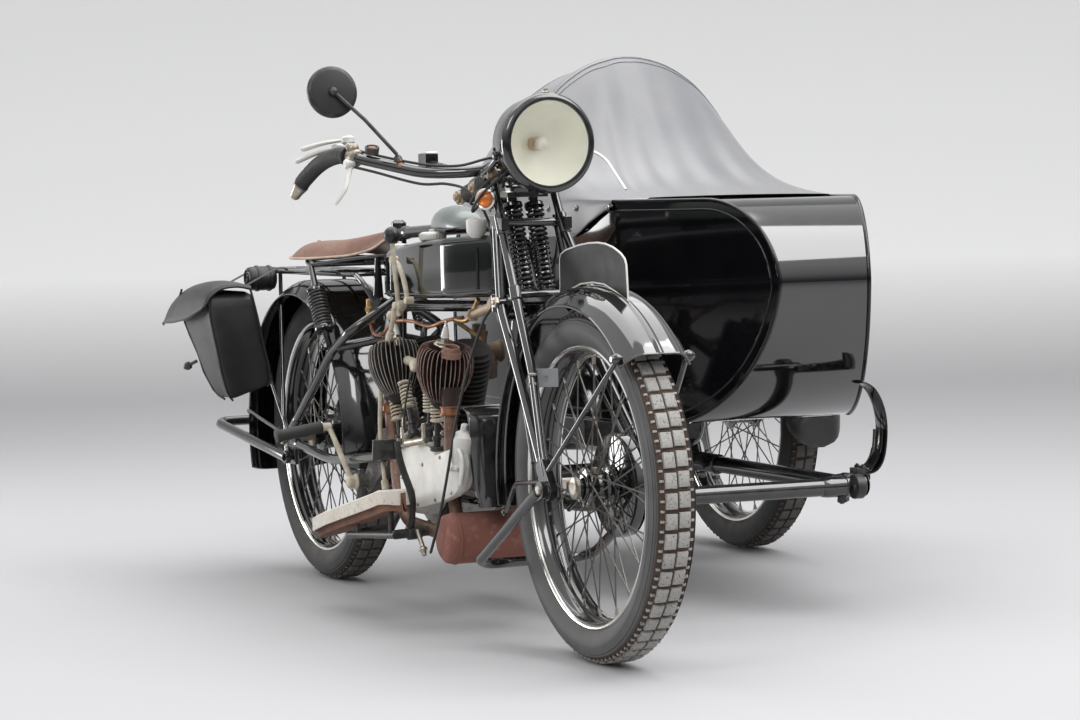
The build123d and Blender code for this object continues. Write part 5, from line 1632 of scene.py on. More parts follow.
rods = [both(
    bar((92, -880, 200), (190, -880, 196), 10),
    bar((187, -888, 196), (187, -600, 170), 8),
    bar((105, -640, 180), (190, -640, 178), 8),
    bar((105, -640, 180), (60, -640, 262), 8),
    pipe([(187, -860, 196), (186, -860, 268)], 6, 10),
    pipe([(187, -660, 176), (186, -660, 228)], 6, 10),
    bar((92, -880, 200), (56, -880, 262), 9),
    turned((128, -880, 199), (160, -880, 198), [(0, 13), (2, 15), (30, 15), (32, 13)], 24),
)]
piece("footboard_rods", rods, satin_black, bevel=0.4)
arm = pipe(bent_route([(-190, -914, 392), (-190, -922, 366), (-182, -922, 336), (-166, -938, 276),
    (-152, -884, 206)], 26), 8, 12, flat=0.55)
pad = skinned([[(x, -914 + dy, z) for dy, z in ((-3, 397), (3, 398), (10, 356), (4, 355))]
    for x in (-242, -190)])
piece("brake_pedal", [arm, pad], satin_black, bevel=2)
drop = added(pipe([(-142, -892, 204), (-140, -920, 168)], 5, 10),
    turned((-140, -916, 172), (-140, -930, 146), [(0, 5), (4, 9), (8, 9), (12, 6), (20, 5)], 16))
piece("drop_lever", drop, old_nickel, bevel=0.4)
long_cable = pipe(smooth_route([(-62, -1136, 668), (-82, -1134, 640), (-104, -1112, 560),
    (-120, -1070, 440), (-128, -1040, 340), (-138, -1010, 240), (-146, -985, 178), (-140, -960, 164)], 8),
    3, 10)
piece("brake_cable", long_cable, grip_rubber)
kick = added(
    turned((-112, -452, 268), (-134, -452, 268), [(0, 18), (4, 18), (6, 14), (18, 14), (22, 10)], 24),
    pipe([(-122, -452, 268), (-152, -392, 390)], [8, 6.5], 12, flat=0.7),
    bar((-146, -392, 388), (-172, -391, 388), 9),
)
piece("kick_crank", kick, cream_paint, bevel=0.5)
rubber = turned((-168, -391, 388), (-276, -388, 372),
    [(0, 11), (4, 14), (10, 13), (20, 14), (30, 13), (40, 14), (50, 13), (60, 14), (70, 13), (80, 14),
    (92, 13), (100, 16), (107, 15), (109, 8)], 24)
piece("kick_rubber", rubber, grip_rubber, smooth=60)
print("controls done")

# %% [markdown]
# ## Girder fork
# Two thin tubes on each side run from the top spindle down to the axle, with a cross spindle and a bridge
# between. Short links join the girder to the steering head, so that it can rise and fall against two coil
# springs.

# %% Girder
girder = [both(
    pipe(bent_route([(62, -1152, 932), (66, -1202, 829), (80, -1295, 700), (95, -1406, 550),
        (107, -1474, 396), (107, -1490, 360)], 24), 9, 16),
    pipe(bent_route([(66, -1176, 838), (80, -1222, 668), (90, -1326, 545), (107, -1464, 384)], 20),
        9.5, 16),
    skinned([[(x, y, z) for y, z in ((-1226, 822), (-1226, 846), (-1166, 850), (-1166, 824))]
        for x in (60, 76)]),
    slab(oval((-1500, 335), (-1474, 376), 21, 19, 36), 99, 115),
    bar((79, -1290, 712), (82, -1306, 686), 12),
    bar((79, -1196, 696), (80, -1204, 660), 11),
    bar((66, -1192, 852), (68, -1214, 812), 12),
)]
girder += [
    bar((-70, -1190, 836), (70, -1190, 836), 8.5),
    bar((-86, -1150, 934), (86, -1150, 934), 9),
    bar((-88, -1222, 681), (88, -1222, 681), 9),
    bar((-80, -1298, 697), (80, -1298, 697), 7),
]
piece("girder_tubes", girder, enamel, "fork", replaces="fork_girder", bevel=0.8)
pinch = [both(
    hexagon((115, -1500, 335), (130, -1500, 335), 16, 9),
    turned((110, -1500, 335), (134, -1500, 335), [(0, 9), (22, 9), (24, 7)], 20),
    hexagon((88, -1222, 681), (102, -1222, 681), 12, 8),
)]
piece("axle_nuts", pinch, old_nickel, "fork", replaces="front_axle", bevel=0.5)

# %% [markdown]
# Flat links with round ends join the girder to the head. Their outline is two circles and the tangents
# between them, and domed nuts cover the ends of the spindles.

# %% Links, damper arm and brass nuts
top_lug = Vector((0, steer_point(905).y, 905))
low_lug = Vector((0, steer_point(655).y, 655))
DAMPER = (-971, 887)
links = [bar(steer_point(690), steer_point(880), 15, sides=24)]
links += [both(
    slab(oval((-1150, 934), (top_lug.y, top_lug.z), 16, 18, 36), 58, 66),
    slab(oval((low_lug.y, low_lug.z), (-1222, 681), 18, 15, 36), 60, 70),
)]
links += [
    bar((-66, *top_lug.yz), (66, *top_lug.yz), 13),
    bar((-62, *low_lug.yz), (62, *low_lug.yz), 13),
    bar(steer_point(640), steer_point(690), 20, sides=28),
    bar(steer_point(880), steer_point(926), 24, sides=28),
    slab(oval((top_lug.y, top_lug.z), DAMPER, 16, 14, 36), -64, -56),
]
piece("fork_link_plates", links, enamel, "fork", replaces="fork_links", bevel=1)
NUT = [(0, 1), (0.5, 1), (4, 0.95), (5, 0.8), (12, 0.76), (13, 0.5), (17, 0.45), (18, 0.3)]
caps = []
for (y, z), r in (((-1175, 931), 17), ((-1080, 908), 15), ((-999, 889), 16)):
    caps.append(turned((-66, y, z), (-90, y, z), [(d, r * k) for d, k in NUT], 30))
    if z > 900:
        caps.append(turned((66, y, z), (90, y, z), [(d, r * k) for d, k in NUT], 30))
piece("link_nuts", caps, tan_metal, "fork", bevel=0.6)
wrap = []
for start, end, count in (((-62, -1160, 927), (-62, -1098, 912), 7),
        ((-60, -1062, 903), (-60, -1020, 894), 4)):
    start, end = Vector(start), Vector(end)
    length = (end - start).length
    rows = [(0, 10)]
    for k in range(count):
        d = 2 + k * (length - 4) / count
        rows += [(d, 12), (d + 1.5, 19), (d + (length - 4) / count - 2, 19),
            (d + (length - 4) / count - 0.5, 12)]
    wrap.append(turned(start, end, [*rows, (length, 10)], 24))
piece("damper_rings", wrap, grip_rubber, "fork")

# %% [markdown]
# Two coil springs stand in front of the head between cups, with a rod through each. When the wheel rises
# over a bump, the lower cross plate presses them against the upper one.

# %% Fork springs
SPRING_ENDS = [((x, -1216, 694), (x, -1160, 872)) for x in (-23, 23)]
coils, cups = [], []
for foot, top in SPRING_ENDS:
    foot, top = Vector(foot), Vector(top)
    along = (top - foot).normalized()
    coils.append(coil(foot + along * 8, top - along * 8, 15.5, 3.6, 17, 16, 8))
    cups += [
        turned(foot - along * 4, foot, [(0, 9), (2, 19), (10, 20), (12, 14), (13, 4)], 28),
        turned(top + along * 4, top, [(0, 9), (2, 19), (10, 20), (12, 14), (13, 4)], 28),
        bar(foot, top, 5),
        bar(foot - along * 14, foot, 10),
        bar(top, top + along * 22, 10),
    ]
piece("spring_coils", coils, enamel, "fork", replaces="fork_springs")
for y, z in ((-1222, 681), (-1196, 684)):
    cups.append(bar((-44, y, z), (44, y, z), 9))
cups += [block(-44, 44, -1246, -1192, (680, 690)), block(-44, 44, -1184, -1132, (886, 896))]
piece("spring_cups", cups, enamel, "fork", bevel=0.6)

# %% [markdown]
# ## Handlebar
# The bar sweeps back and down to long rubber grips. Inverted hand levers pivot near the bar's bend, and
# two thumb levers for air and mixture sit on top of each side. Their cables run along the bar and then
# down in loose loops.

# %% Bar and grips
BAR = [(70, -1068, 938), (150, -1010, 938), (235, -852, 973), (252, -803, 981), (268, -703, 962),
    (281, -660, 938)]
bar_route = [(-x, y, z) for x, y, z in reversed(BAR)] + [(0, -1080, 950)] + BAR
piece("handlebar_tube", [pipe(bent_route(bar_route, 40, 6), 11, 18),
    bar((0, -1040, 910), (0, -1086, 956), 18)], enamel, "fork", replaces="handlebar", bevel=0.6)
grips, ferrules = [], []


def grip_radius(distance, length):
    """A collar at the start, then rubber with small rings, a little thicker towards its end."""
    if distance < 8:
        return 19.5
    return 17 - 1.5 * abs(distance / length - 0.45) + 0.6 * (sin(distance * 0.72) > 0)


for s in (-1, 1):
    route = smooth_route([(s * 246, -826, 978), (s * 252, -803, 981), (s * 261, -750, 975),
        (s * 269, -702, 961), (s * 282, -656, 934), (s * 288, -644, 920)], 24)
    walked, along = 0.0, [0.0]
    for a, b in zip(route, route[1:]):
        walked += (Vector(b) - Vector(a)).length
        along.append(walked)
    grips.append(pipe(route, [grip_radius(d, walked) for d in along], 24))
    foot, tip = Vector(route[-4]), Vector(route[-1])
    d = (tip - foot).normalized()
    ferrules.append(turned(tip - d * 6, tip, [(0, 14), (4, 17), (10, 15.5), (22, 12.5), (34, 11), (38, 8),
        (39, 2)], 28))
    clamp_at, d = Vector((s * 238, -842, 975)), Vector((s * 0.2, 0.95, 0.15)).normalized()
    ferrules += [
        turned(clamp_at - d * 12, clamp_at + d * 14, [(0, 13), (3, 18), (23, 18), (26, 13)], 24),
        turned((s * 240, -830, 974), (s * 240, -838, 1002), [(0, 8), (6, 13), (24, 14), (30, 10)], 20),
    ]
piece("grips", grips, grip_rubber, "fork", smooth=60)
piece("grip_ends", ferrules, old_nickel, "fork")

# %% [markdown]
# A hand lever gets thinner towards its tip and is flat in section, so the tube along its route has a
# falling radius and is squeezed. The thumb levers are the same shape, short and growing wider.

# %% Hand and thumb levers
THUMB_LEVERS = (((-774, 1013, 230), (-673, 997, 290)), ((-739, 997, 240), (-662, 972, 300)))
levers, thumbs = [], []
for s in (-1, 1):
    if s < 0:
        route = bent_route([(-246, -842, 966), (-256, -856, 946), (-270, -872, 908), (-288, -858, 880)], 22)
    else:
        route = bent_route([(246, -842, 966), (272, -850, 990), (302, -900, 965), (314, -975, 896)], 22)
    levers += [
        pipe(route, [7 - 3.4 * k / (len(route) - 1) for k in range(len(route))], 14, flat=0.55),
        turned((s * 240, -846, 962), (s * 262, -846, 962), [(0, 9), (4, 11), (18, 11), (22, 8)], 20),
    ]
    for (y0, z0, x0), (y1, z1, x1) in THUMB_LEVERS:
        middle = (s * (x0 + x1) / 2, (y0 + y1) / 2, (z0 + z1) / 2 + 3)
        route = smooth_route([(s * x0, y0, z0), middle, (s * x1, y1, z1)], 5)
        thick = [4.5 + 3.2 * k / (len(route) - 1) for k in range(len(route))]
        thumbs += [pipe([*route, route[-1] + (route[-1] - route[-2]).normalized() * 5], [*thick, 3.5], 14,
            flat=0.7), turned((s * (x0 - 4), y0, z0 - 10), (s * (x0 - 4), y0 + 2, z0 + 8),
            [(0, 9), (4, 14), (14, 14), (18, 9)], 20)]
    thumbs.append(pipe([(s * 232, -790, 1004), (s * 232, -802, 984)], 6, 12))
piece("hand_levers", levers, pale_alloy, "fork", replaces="bar_fittings", bevel=0.4)
piece("thumb_levers", thumbs, pale_alloy, "fork", bevel=0.4)

# %% [markdown]
# The mirror, a switch box, a small dial, a knob, an oil cup and an amber lamp hang on the bar and the
# head. Each is one or two turned shapes with a stem.

# %% Mirror, box and knobs on the bar
stem = added(pipe([(-180, -944, 968), (-184, -942, 980), (-240, -916, 1050), (-298, -902, 1106)], 4, 12),
    turned((-300, -908, 1110), (-300, -888, 1107), [(0, 3), (3, 8), (8, 10), (13, 9), (16, 6)], 24),
    bar((-180, -952, 958), (-180, -936, 972), 9))
mirror_back = turned((-300, -898, 1109), (-300, -882, 1107),
    [(0, 3), (0.5, 44), (1.5, 50), (4, 52.5), (12, 53), (14, 51)], 48)
piece("mirror_shell", [stem, mirror_back], satin_black, "fork", smooth=50)
piece("mirror_glass", turned((-300, -884.5, 1107.3), (-300, -883, 1107.1), [(0, 49), (1, 50.5)], 48),
    lamp_silver, "fork")
box_shape = block(-98, -70, -885, -842, (950, 954, 980))
box_top = block(-96, -72, -883, -844, (980, 983, 984))
piece("switch_box", [box_shape, bar((-84, -960, 950), (-84, -884, 958), 7)], enamel, "fork", bevel=2)
piece("switch_top", box_top, porcelain, "fork", bevel=1.5)
knob = turned((-180, -946, 954), (-180, -974, 952), [(0, 12), (6, 12), (8, 9), (16, 8), (20, 5), (21, 1)],
    24)
dial_case = turned((-214, -880, 980), (-215, -886, 1000),
    [(0, 9), (2, 14), (12, 15), (16, 15), (18, 13), (17, 11)], 28, True)
dial_face = turned((-214, -880, 980), (-215, -886, 1000), [(0, 9), (13, 11), (16, 8), (17, 1)], 28)
piece("dial_case", dial_case, satin_black, "fork")
piece("dial_face", dial_face, copper, "fork")
piece("copper_knob", knob, copper, "fork")
cup = turned((-62, -1062, 846), (-62, -1062, 806),
    [(0, 12), (3, 20), (8, 21), (28, 20), (34, 16), (40, 9)], 28)
arm = pipe([(-24, -1080, 850), (-62, -1064, 836)], 6, 10)
piece("oil_cup", [cup, arm], pale_alloy)
lamp_ring = turned((-76, -1170, 884), (-96, -1188, 884),
    [(0, 13), (8, 18), (18, 21.5), (22, 21.5), (24, 18), (23, 15)], 28)
piece("indicator_ring", lamp_ring, bright_nickel, "fork")
piece("indicator_glass", turned((-90, -1184, 884), (-104, -1196, 884),
    [(0, 17), (8, 15.5), (12, 10), (14, 2)], 28), amber_glass, "fork")

# %% [markdown]
# Control cables hang in loose bends from the levers to the middle of the machine. Each one is a smooth
# route through a few points, held at both ends.

# %% Cables on the bar
cables = []
for s in (-1, 1):
    cables += [
        smooth_route([(s * 244, -850, 956), (s * 216, -900, 944), (s * 160, -1004, 918),
            (s * 120, -1052, 916), (s * 96, -1110, 900), (s * 76, -1150, 850), (s * 70, -1164, 790),
            (s * 64, -1150, 730)], 7),
        smooth_route([(s * 234, -812, 994), (s * 206, -890, 978), (s * 150, -1000, 957),
            (s * 96, -1062, 952), (s * 34, -1098, 966), (-s * 4, -1098, 944), (-s * 8, -1070, 900),
            (-s * 26, -1040, 868)], 7),
    ]
cables += [
    smooth_route([(-62, -1240, 940), (-96, -1200, 902), (-112, -1176, 872), (-104, -1150, 860),
        (-72, -1120, 880)], 7),
    smooth_route([(-40, -1220, 950), (-84, -1186, 920), (-100, -1130, 880), (-70, -1092, 872),
        (-30, -1076, 866)], 7),
]
piece("bar_cables", [pipe(route, 2.8, 8) for route in cables], grip_rubber, "fork")

# %% [markdown]
# ## Headlamp
# The lamp is a deep black shell with a flat bright rim. Inside is a silvered bowl with a bulb in its
# middle, so the glass looks pale yellow. The glass is slightly domed and carries upright ribs that spread
# the light.

# %% Lamp shell, bowl and glass
LAMP_Z = 990
LAMP_FACE = -1297


def lamp_turned(profile, first=0, last=130, sides=64, hollow=True):
    """A turned part on the lamp's own axis, from one distance behind its face to another."""
    return turned((0, LAMP_FACE + first, LAMP_Z), (0, LAMP_FACE + last, LAMP_Z), profile, sides, hollow)


shell_profile = [(0, 84.5), (0, 95), (3, 97), (12, 97), (15, 94), (16, 91), (22, 91), (72, 90), (96, 77),
    (112, 62), (124, 42), (130, 20), (130, 2), (126, 18), (118, 42), (104, 64), (90, 76), (70, 84),
    (20, 86), (3, 85)]
piece("lamp_shell", lamp_turned(shell_profile), enamel, "fork", replaces="headlamp", smooth=30)
rim_profile = [(-4, 83), (-5, 88), (-3, 94), (2, 97.5), (9, 98.5), (13, 97), (13, 95), (4, 93), (0, 88),
    (0, 83)]
piece("lamp_rim", lamp_turned(rim_profile), enamel, "fork", smooth=50)
bowl_profile = [(2, 84), (3, 83.4)] + [(3 + 76 * sin(radians(k * 9)), 83.4 * cos(radians(k * 9)) + 1)
    for k in range(1, 10)]
bowl_back = [(d + 1.5, r + 1.5) for d, r in reversed(bowl_profile)]
piece("lamp_bowl", lamp_turned(bowl_profile + bowl_back), lamp_silver, "fork", smooth=80)
bulb_holder = lamp_turned([(0, 14), (12, 14), (13, 9), (30, 9), (31, 6)], 79, 0, 28, False)
bulb_ball = lamp_turned([(0, 5), (5, 11), (12, 14), (19, 12), (24, 7), (26, 1)], 52, 0, 28, False)
piece("bulb_holder", bulb_holder, brass, "fork")
piece("bulb", bulb_ball, porcelain, "fork", smooth=80)


def glass_ring(share, radius=84, dome=8, behind=1.0, rib=0.0):
    """One round of points on the domed lamp glass, this share of the way out from its middle."""
    ring = []
    for i in range(96):
        angle = 2 * pi * i / 96
        x = radius * share * cos(angle)
        y = LAMP_FACE - dome * (1 - share ** 2) + behind + rib * cos(x * 0.55)
        ring.append((x, y, LAMP_Z + radius * share * sin(angle)))
    return ring


GLASS_RINGS = 12
outside = [glass_ring(k / GLASS_RINGS) for k in range(GLASS_RINGS + 1)]
inside = [glass_ring(k / GLASS_RINGS, behind=5.5, rib=0.35) for k in range(GLASS_RINGS, -1, -1)]
piece("lamp_glass", skinned(outside + inside, caps=False), lens_glass, "fork", replaces="headlamp_lens",
    smooth=80)
lamp_arms = [both(
    pipe(bent_route([(84, -1240, 966), (84, -1200, 948), (80, -1150, 934)], 14), 7, 12),
    turned((74, -1238, 968), (96, -1238, 968), [(0, 8), (3, 12), (12, 12), (14, 9), (20, 9), (22, 5)],
        24),
    slab(oval((-1150, 934), (-1190, 948), 14, 8, 28), 75, 84),
)]
piece("lamp_arms", lamp_arms, enamel, "fork", bevel=0.6)
vent = added(turned((0, LAMP_FACE + 50, LAMP_Z - 88), (0, LAMP_FACE + 50, LAMP_Z - 100),
    [(0, 7), (4, 7), (5, 4), (12, 4)], 14), turned((0, LAMP_FACE + 14, LAMP_Z + 94),
    (0, LAMP_FACE + 14, LAMP_Z + 106), [(0, 8), (6, 8), (8, 5), (12, 5)], 14))
piece("lamp_screws", vent, old_nickel, "fork")

# %% [markdown]
# ## Plates and stands
# A curved black plate stands along the top of the front mudguard, edged by a thin bead, and is left blank
# here. The front stand is a hoop of round bar that hangs on the axle and clips up behind the tyre.

# %% Front plate
PLATE = [(-1640, 690), (-1638, 720), (-1635, 757), (-1629, 768), (-1612, 778), (-1579, 789), (-1546, 795),
    (-1512, 797), (-1470, 796), (-1425, 792), (-1363, 782), (-1340, 774), (-1334, 764), (-1333, 712),
    (-1330, 684)]
plate_foot = [(-1380, 706), (-1430, 718), (-1486, 722), (-1540, 719), (-1590, 706)]
piece("front_plate", slab([*PLATE, *plate_foot], -1.2, 1.2), plate_black, "fork", replaces="number_plate")
piece("plate_bead", pipe([(0, y, z) for y, z in [*PLATE, *plate_foot]], 2, 8, closed=True), porcelain,
    "fork")
small_plate = sheet_slab([(-92, -1376, 521), (-38, -1398, 521), (-38, -1398, 557), (-92, -1376, 557)], 2)
piece("small_plate", small_plate, small_plate_grey, "fork", bevel=1)
small_clips = [pipe([(-106, -1412, z), (-98, -1424, z), (-86, -1404, z)], 2.6, 8) for z in (531, 549)]
screw = turned((-62, -1392, 539), (-62, -1396, 539), [(0, 4), (2, 4), (3, 2)], 12)
piece("plate_clips", [*small_clips, screw], old_nickel, "fork")

# %% [markdown]
# Both stands are hoops of round bar with flat eyes at their pivots. They ride on bodies of their own,
# because each swings down about its pivot.

# %% Stands
stand = []
foot = Vector((0, -1172, 160))
for s in (-1, 1):
    stand += [
        pipe(bent_route([(s * 128, -1492, 331), (s * 126, -1190, 170), (s * 100, *foot.yz),
            (0, *foot.yz)], 30), 10.5, 16),
        slab(oval((-1500, 335), (-1470, 320), 17, 10, 36), s * 117, s * 129),
    ]
piece("front_stand_bar", stand, enamel, "front_stand", replaces="front_stand", bevel=0.6)
rear = [pipe(bent_route([(-130, -30, 293), (-168, 392, 352), (168, 392, 352), (130, -30, 293)], 44, 6),
    12, 18)]
rear += [both(slab(oval((-30, 293), (0, 297), 15, 10, 36), 124, 136))]
piece("rear_stand_bar", rear, enamel, "rear_stand", replaces="rear_stand", bevel=0.6)
print("fork done")

# %% [markdown]
# ## Sidecar body
# The body is a shell of steel panels: one long band wraps over the nose, the deck and the tail, and a
# flat-sided panel closes each side. All are rolled over a wire at their edges, so a bead runs round each
# panel. The panels are built here as sheets that have an outside, an inside and rims, with the same sizes
# as the CAD body.


# %% Sheets with an inside
def arc_through(a, b, c, steps):
    """Points on the circle arc from a through b to c, without c."""
    ax, ay = a
    bx, by = b
    cx, cy = c
    d = 2 * (ax * (by - cy) + bx * (cy - ay) + cx * (ay - by))
    ux = ((ax * ax + ay * ay) * (by - cy) + (bx * bx + by * by) * (cy - ay) + (cx * cx + cy * cy) * (
        ay - by)) / d
    uy = ((ax * ax + ay * ay) * (cx - bx) + (bx * bx + by * by) * (ax - cx) + (cx * cx + cy * cy) * (
        bx - ax)) / d
    r = hypot(ax - ux, ay - uy)
    first = atan2(ay - uy, ax - ux)
    sweep = (atan2(cy - uy, cx - ux) - first) % (2 * pi)
    middle = (atan2(by - uy, bx - ux) - first) % (2 * pi)
    if middle > sweep:
        sweep -= 2 * pi
    return [(ux + r * cos(first + sweep * i / steps), uy + r * sin(first + sweep * i / steps))
        for i in range(steps)]


def straight(a, b, steps):
    return [(a[0] + (b[0] - a[0]) * i / steps, a[1] + (b[1] - a[1]) * i / steps) for i in range(steps)]


def thick_sheet(outer, inner, faces):
    """Joins an outside and an inside sheet of the same faces by rims along every open edge."""
    count = len(outer)
    edges = {}
    for face in faces:
        for a, b in zip(face, face[1:] + face[:1]):
            edges[(a, b)] = edges.get((a, b), 0) + 1
    rims = [(a, b, b + count, a + count) for a, b in edges if (b, a) not in edges]
    back = [tuple(i + count for i in reversed(face)) for face in faces]
    return [Vector(p) for p in outer + inner], [tuple(face) for face in faces] + back + rims


PLAN = [(-1260, 80), (-1000, 180), (-742, 268), (-600, 286), (-420, 292), (-240, 292.5), (-60, 290),
    (60, 274), (200, 240), (400, 190)]


def half_width(y):
    """Half of the body's width at one place along it, as a smooth line through the plan's points."""
    for k, ((y0, h0), (y1, h1)) in enumerate(zip(PLAN, PLAN[1:])):
        if y <= y1:
            before = PLAN[max(k - 1, 0)]
            after = PLAN[min(k + 2, len(PLAN) - 1)]
            t = (y - y0) / (y1 - y0)
            m0 = (h1 - before[1]) / (y1 - before[0]) * (y1 - y0)
            m1 = (after[1] - h0) / (after[0] - y0) * (y1 - y0)
            start = (2 * t ** 3 - 3 * t * t + 1) * h0 + (t ** 3 - 2 * t * t + t) * m0
            return start + (3 * t * t - 2 * t ** 3) * h1 + (t ** 3 - t * t) * m1
    return PLAN[-1][1]


BODY_HEIGHT = BODY_TOP - BODY_FLOOR
OUTLINE = straight((330, BODY_FLOOR), (-900, BODY_FLOOR), 24)
OUTLINE += arc_through((-900, BODY_FLOOR), (-1118, 520), (-1194, 694), 22)
OUTLINE += arc_through((-1194, 694), (-1140, 812), (-1000, BODY_TOP), 16)
OUTLINE += straight((-1000, BODY_TOP), (150, BODY_TOP), 24)
OUTLINE += arc_through((150, BODY_TOP), (370, 680), (330, BODY_FLOOR), 24)
WALL = 12
DOOR = (-690, -410, 480, 845)


def low_high(y):
    """Where the side panel begins and ends at one place along the body."""
    zs = []
    for (y0, z0), (y1, z1) in zip(OUTLINE, OUTLINE[1:] + OUTLINE[:1]):
        if (y0 - y) * (y1 - y) <= 0 and y0 != y1:
            zs.append(z0 + (z1 - z0) * (y - y0) / (y1 - y0))
    return min(zs), max(zs)


PANEL_SHARES = [0, 0.06, 0.12, (DOOR[2] - BODY_FLOOR) / BODY_HEIGHT, 0.3, 0.42, 0.54, 0.66, 0.78, 0.88,
    (DOOR[3] - BODY_FLOOR) / BODY_HEIGHT, 0.975, 1]


def panel(s, columns, with_door_hole=False, shares=PANEL_SHARES):
    """One side panel as columns of points from its lower to its upper edge."""
    outer, inner, faces = [], [], []
    n = len(shares)
    for y in columns:
        low, high = low_high(y)
        for t in shares:
            z = low + (high - low) * t
            outer.append((BODY_X + s * half_width(y), y, z))
            inner.append((BODY_X + s * (half_width(y) - WALL), y, z))
    for c in range(len(columns) - 1):
        for k in range(n - 1):
            middle_y = (columns[c] + columns[c + 1]) / 2
            middle_t = (shares[k] + shares[k + 1]) / 2
            z = BODY_FLOOR + BODY_HEIGHT * middle_t
            if with_door_hole and DOOR[0] < middle_y < DOOR[1] and DOOR[2] < z < DOOR[3]:
                continue
            a = c * n + k
            faces.append([a, a + 1, a + n + 1, a + n] if s < 0 else [a, a + n, a + n + 1, a + 1])
    return thick_sheet(outer, inner, faces)


tail_y = max(y for y, z in OUTLINE)
COLUMNS = [-1193.6, -1190, -1182, -1170, -1150, -1125, -1095, -1060, -1020, -980, -940, -900, -850, -800,
    -745, -690, -620, -550, -480, -410, -330, -250, -160, -60, 20, 90, 150, 200, 250, 290, 318, 334, 344,
    tail_y - 0.5]
piece("sidecar_side_panels", [panel(-1, COLUMNS), panel(1, COLUMNS, True)], body_enamel,
    replaces="sidecar_sides", smooth=30)
door_columns = [-685, -645, -600, -555, -510, -465, -415]
door_shares = [(z - BODY_FLOOR) / BODY_HEIGHT for z in (485, 500, 560, 620, 680, 740, 800, 828, 840)]
piece("door_panel", panel(1, door_columns, shares=door_shares), body_enamel, "sidecar_door",
    replaces="sidecar_door", smooth=30)

# %% [markdown]
# The band follows the body's side outline all the way round and is as wide as the plan at each place. The
# faces over the cockpit are left out, which makes its opening.

# %% The band over nose, deck and tail
ACROSS = [-1, -0.94, -220 / 288, -0.55, -0.28, 0, 0.28, 0.55, 220 / 288, 0.94, 1]
outer, inner, faces = [], [], []
n = len(ACROSS)
for k, (y, z) in enumerate(OUTLINE):
    before, after = OUTLINE[k - 1], OUTLINE[(k + 1) % len(OUTLINE)]
    along = Vector((after[0] - before[0], after[1] - before[1])).normalized()
    inward = Vector((-along.y, along.x)) * -WALL
    for t in ACROSS:
        outer.append((BODY_X + t * (half_width(y) - 3), y, z))
        inner.append((BODY_X + t * (half_width(y) - WALL), y + inward.x, z + inward.y))
for k in range(len(OUTLINE)):
    follow = (k + 1) % len(OUTLINE)
    for c in range(n - 1):
        y = (OUTLINE[k][0] + OUTLINE[follow][0]) / 2
        if OUTLINE[k][1] > 869 and -690 < y < 60 and 2 <= c < n - 3:
            continue
        a, b = k * n + c, follow * n + c
        faces.append([a, a + 1, b + 1, b])
band = thick_sheet(outer, inner, faces)
piece("sidecar_band", band, nose_enamel, replaces="sidecar_wrap", smooth=40)

# %% [markdown]
# A bead covers each seam where a panel meets the band, and a second line runs just inside it. The door
# has its own bead, a handle and two hinges. A flat box hangs under the floor.

# %% Beads, door furniture and the box below
beads = []
for s in (-1, 1):
    beads.append(pipe([(BODY_X + s * (half_width(y) - 1), y, z) for y, z in OUTLINE], 4.5, 10, closed=True))
    inset = []
    for k, (y, z) in enumerate(OUTLINE):
        before, after = OUTLINE[k - 1], OUTLINE[(k + 1) % len(OUTLINE)]
        along = Vector((after[0] - before[0], after[1] - before[1])).normalized()
        shifted = Vector((y, z)) + Vector((along.y, -along.x)) * 20
        inset.append((BODY_X + s * (half_width(shifted.x) + 0.5), shifted.x, shifted.y))
    beads.append(pipe(inset, 2.4, 8, closed=True))
piece("body_beads", beads, body_enamel, smooth=70)
front, back, low, high = DOOR
door_edge = [(BODY_X + half_width(y) + 0.5, y, z)
    for y, z in ((front + 12, low + 12), (back - 12, low + 12), (back - 12, high - 12),
    (front + 12, high - 12))]
handle = added(turned((BODY_X + 290, back - 40, 740), (BODY_X + 306, back - 40, 740),
    [(0, 14), (3, 14), (5, 8), (16, 7)], 20),
    pipe(smooth_route([(BODY_X + 304, back - 40, 740), (BODY_X + 308, back - 70, 742),
    (BODY_X + 305, back - 104, 738)], 5), [6, 6, 6, 6, 6, 6.5, 6.5, 7, 7, 7, 6], 12, flat=0.7))
piece("door_bead", pipe(door_edge, 2.4, 8, closed=True), body_enamel, "sidecar_door")
piece("door_handle", handle, bright_nickel, "sidecar_door", bevel=0.4)
HINGE_X = BODY_X + 284
hinges = [bar((HINGE_X, -688, z - 22), (HINGE_X, -688, z + 22), 5.5) for z in (540, 780)]
piece("door_hinges", hinges, enamel)
locker = block(BODY_X - 150, BODY_X + 150, -300, 0, (BODY_FLOOR - 90, BODY_FLOOR + 4))
piece("under_boxes", locker, satin_black, bevel=4)

# %% [markdown]
# ## Sidecar seat
# The seat is two brown cushions with rolled fronts: a crowned cushion to sit on, and a tall one with
# pleats behind it.


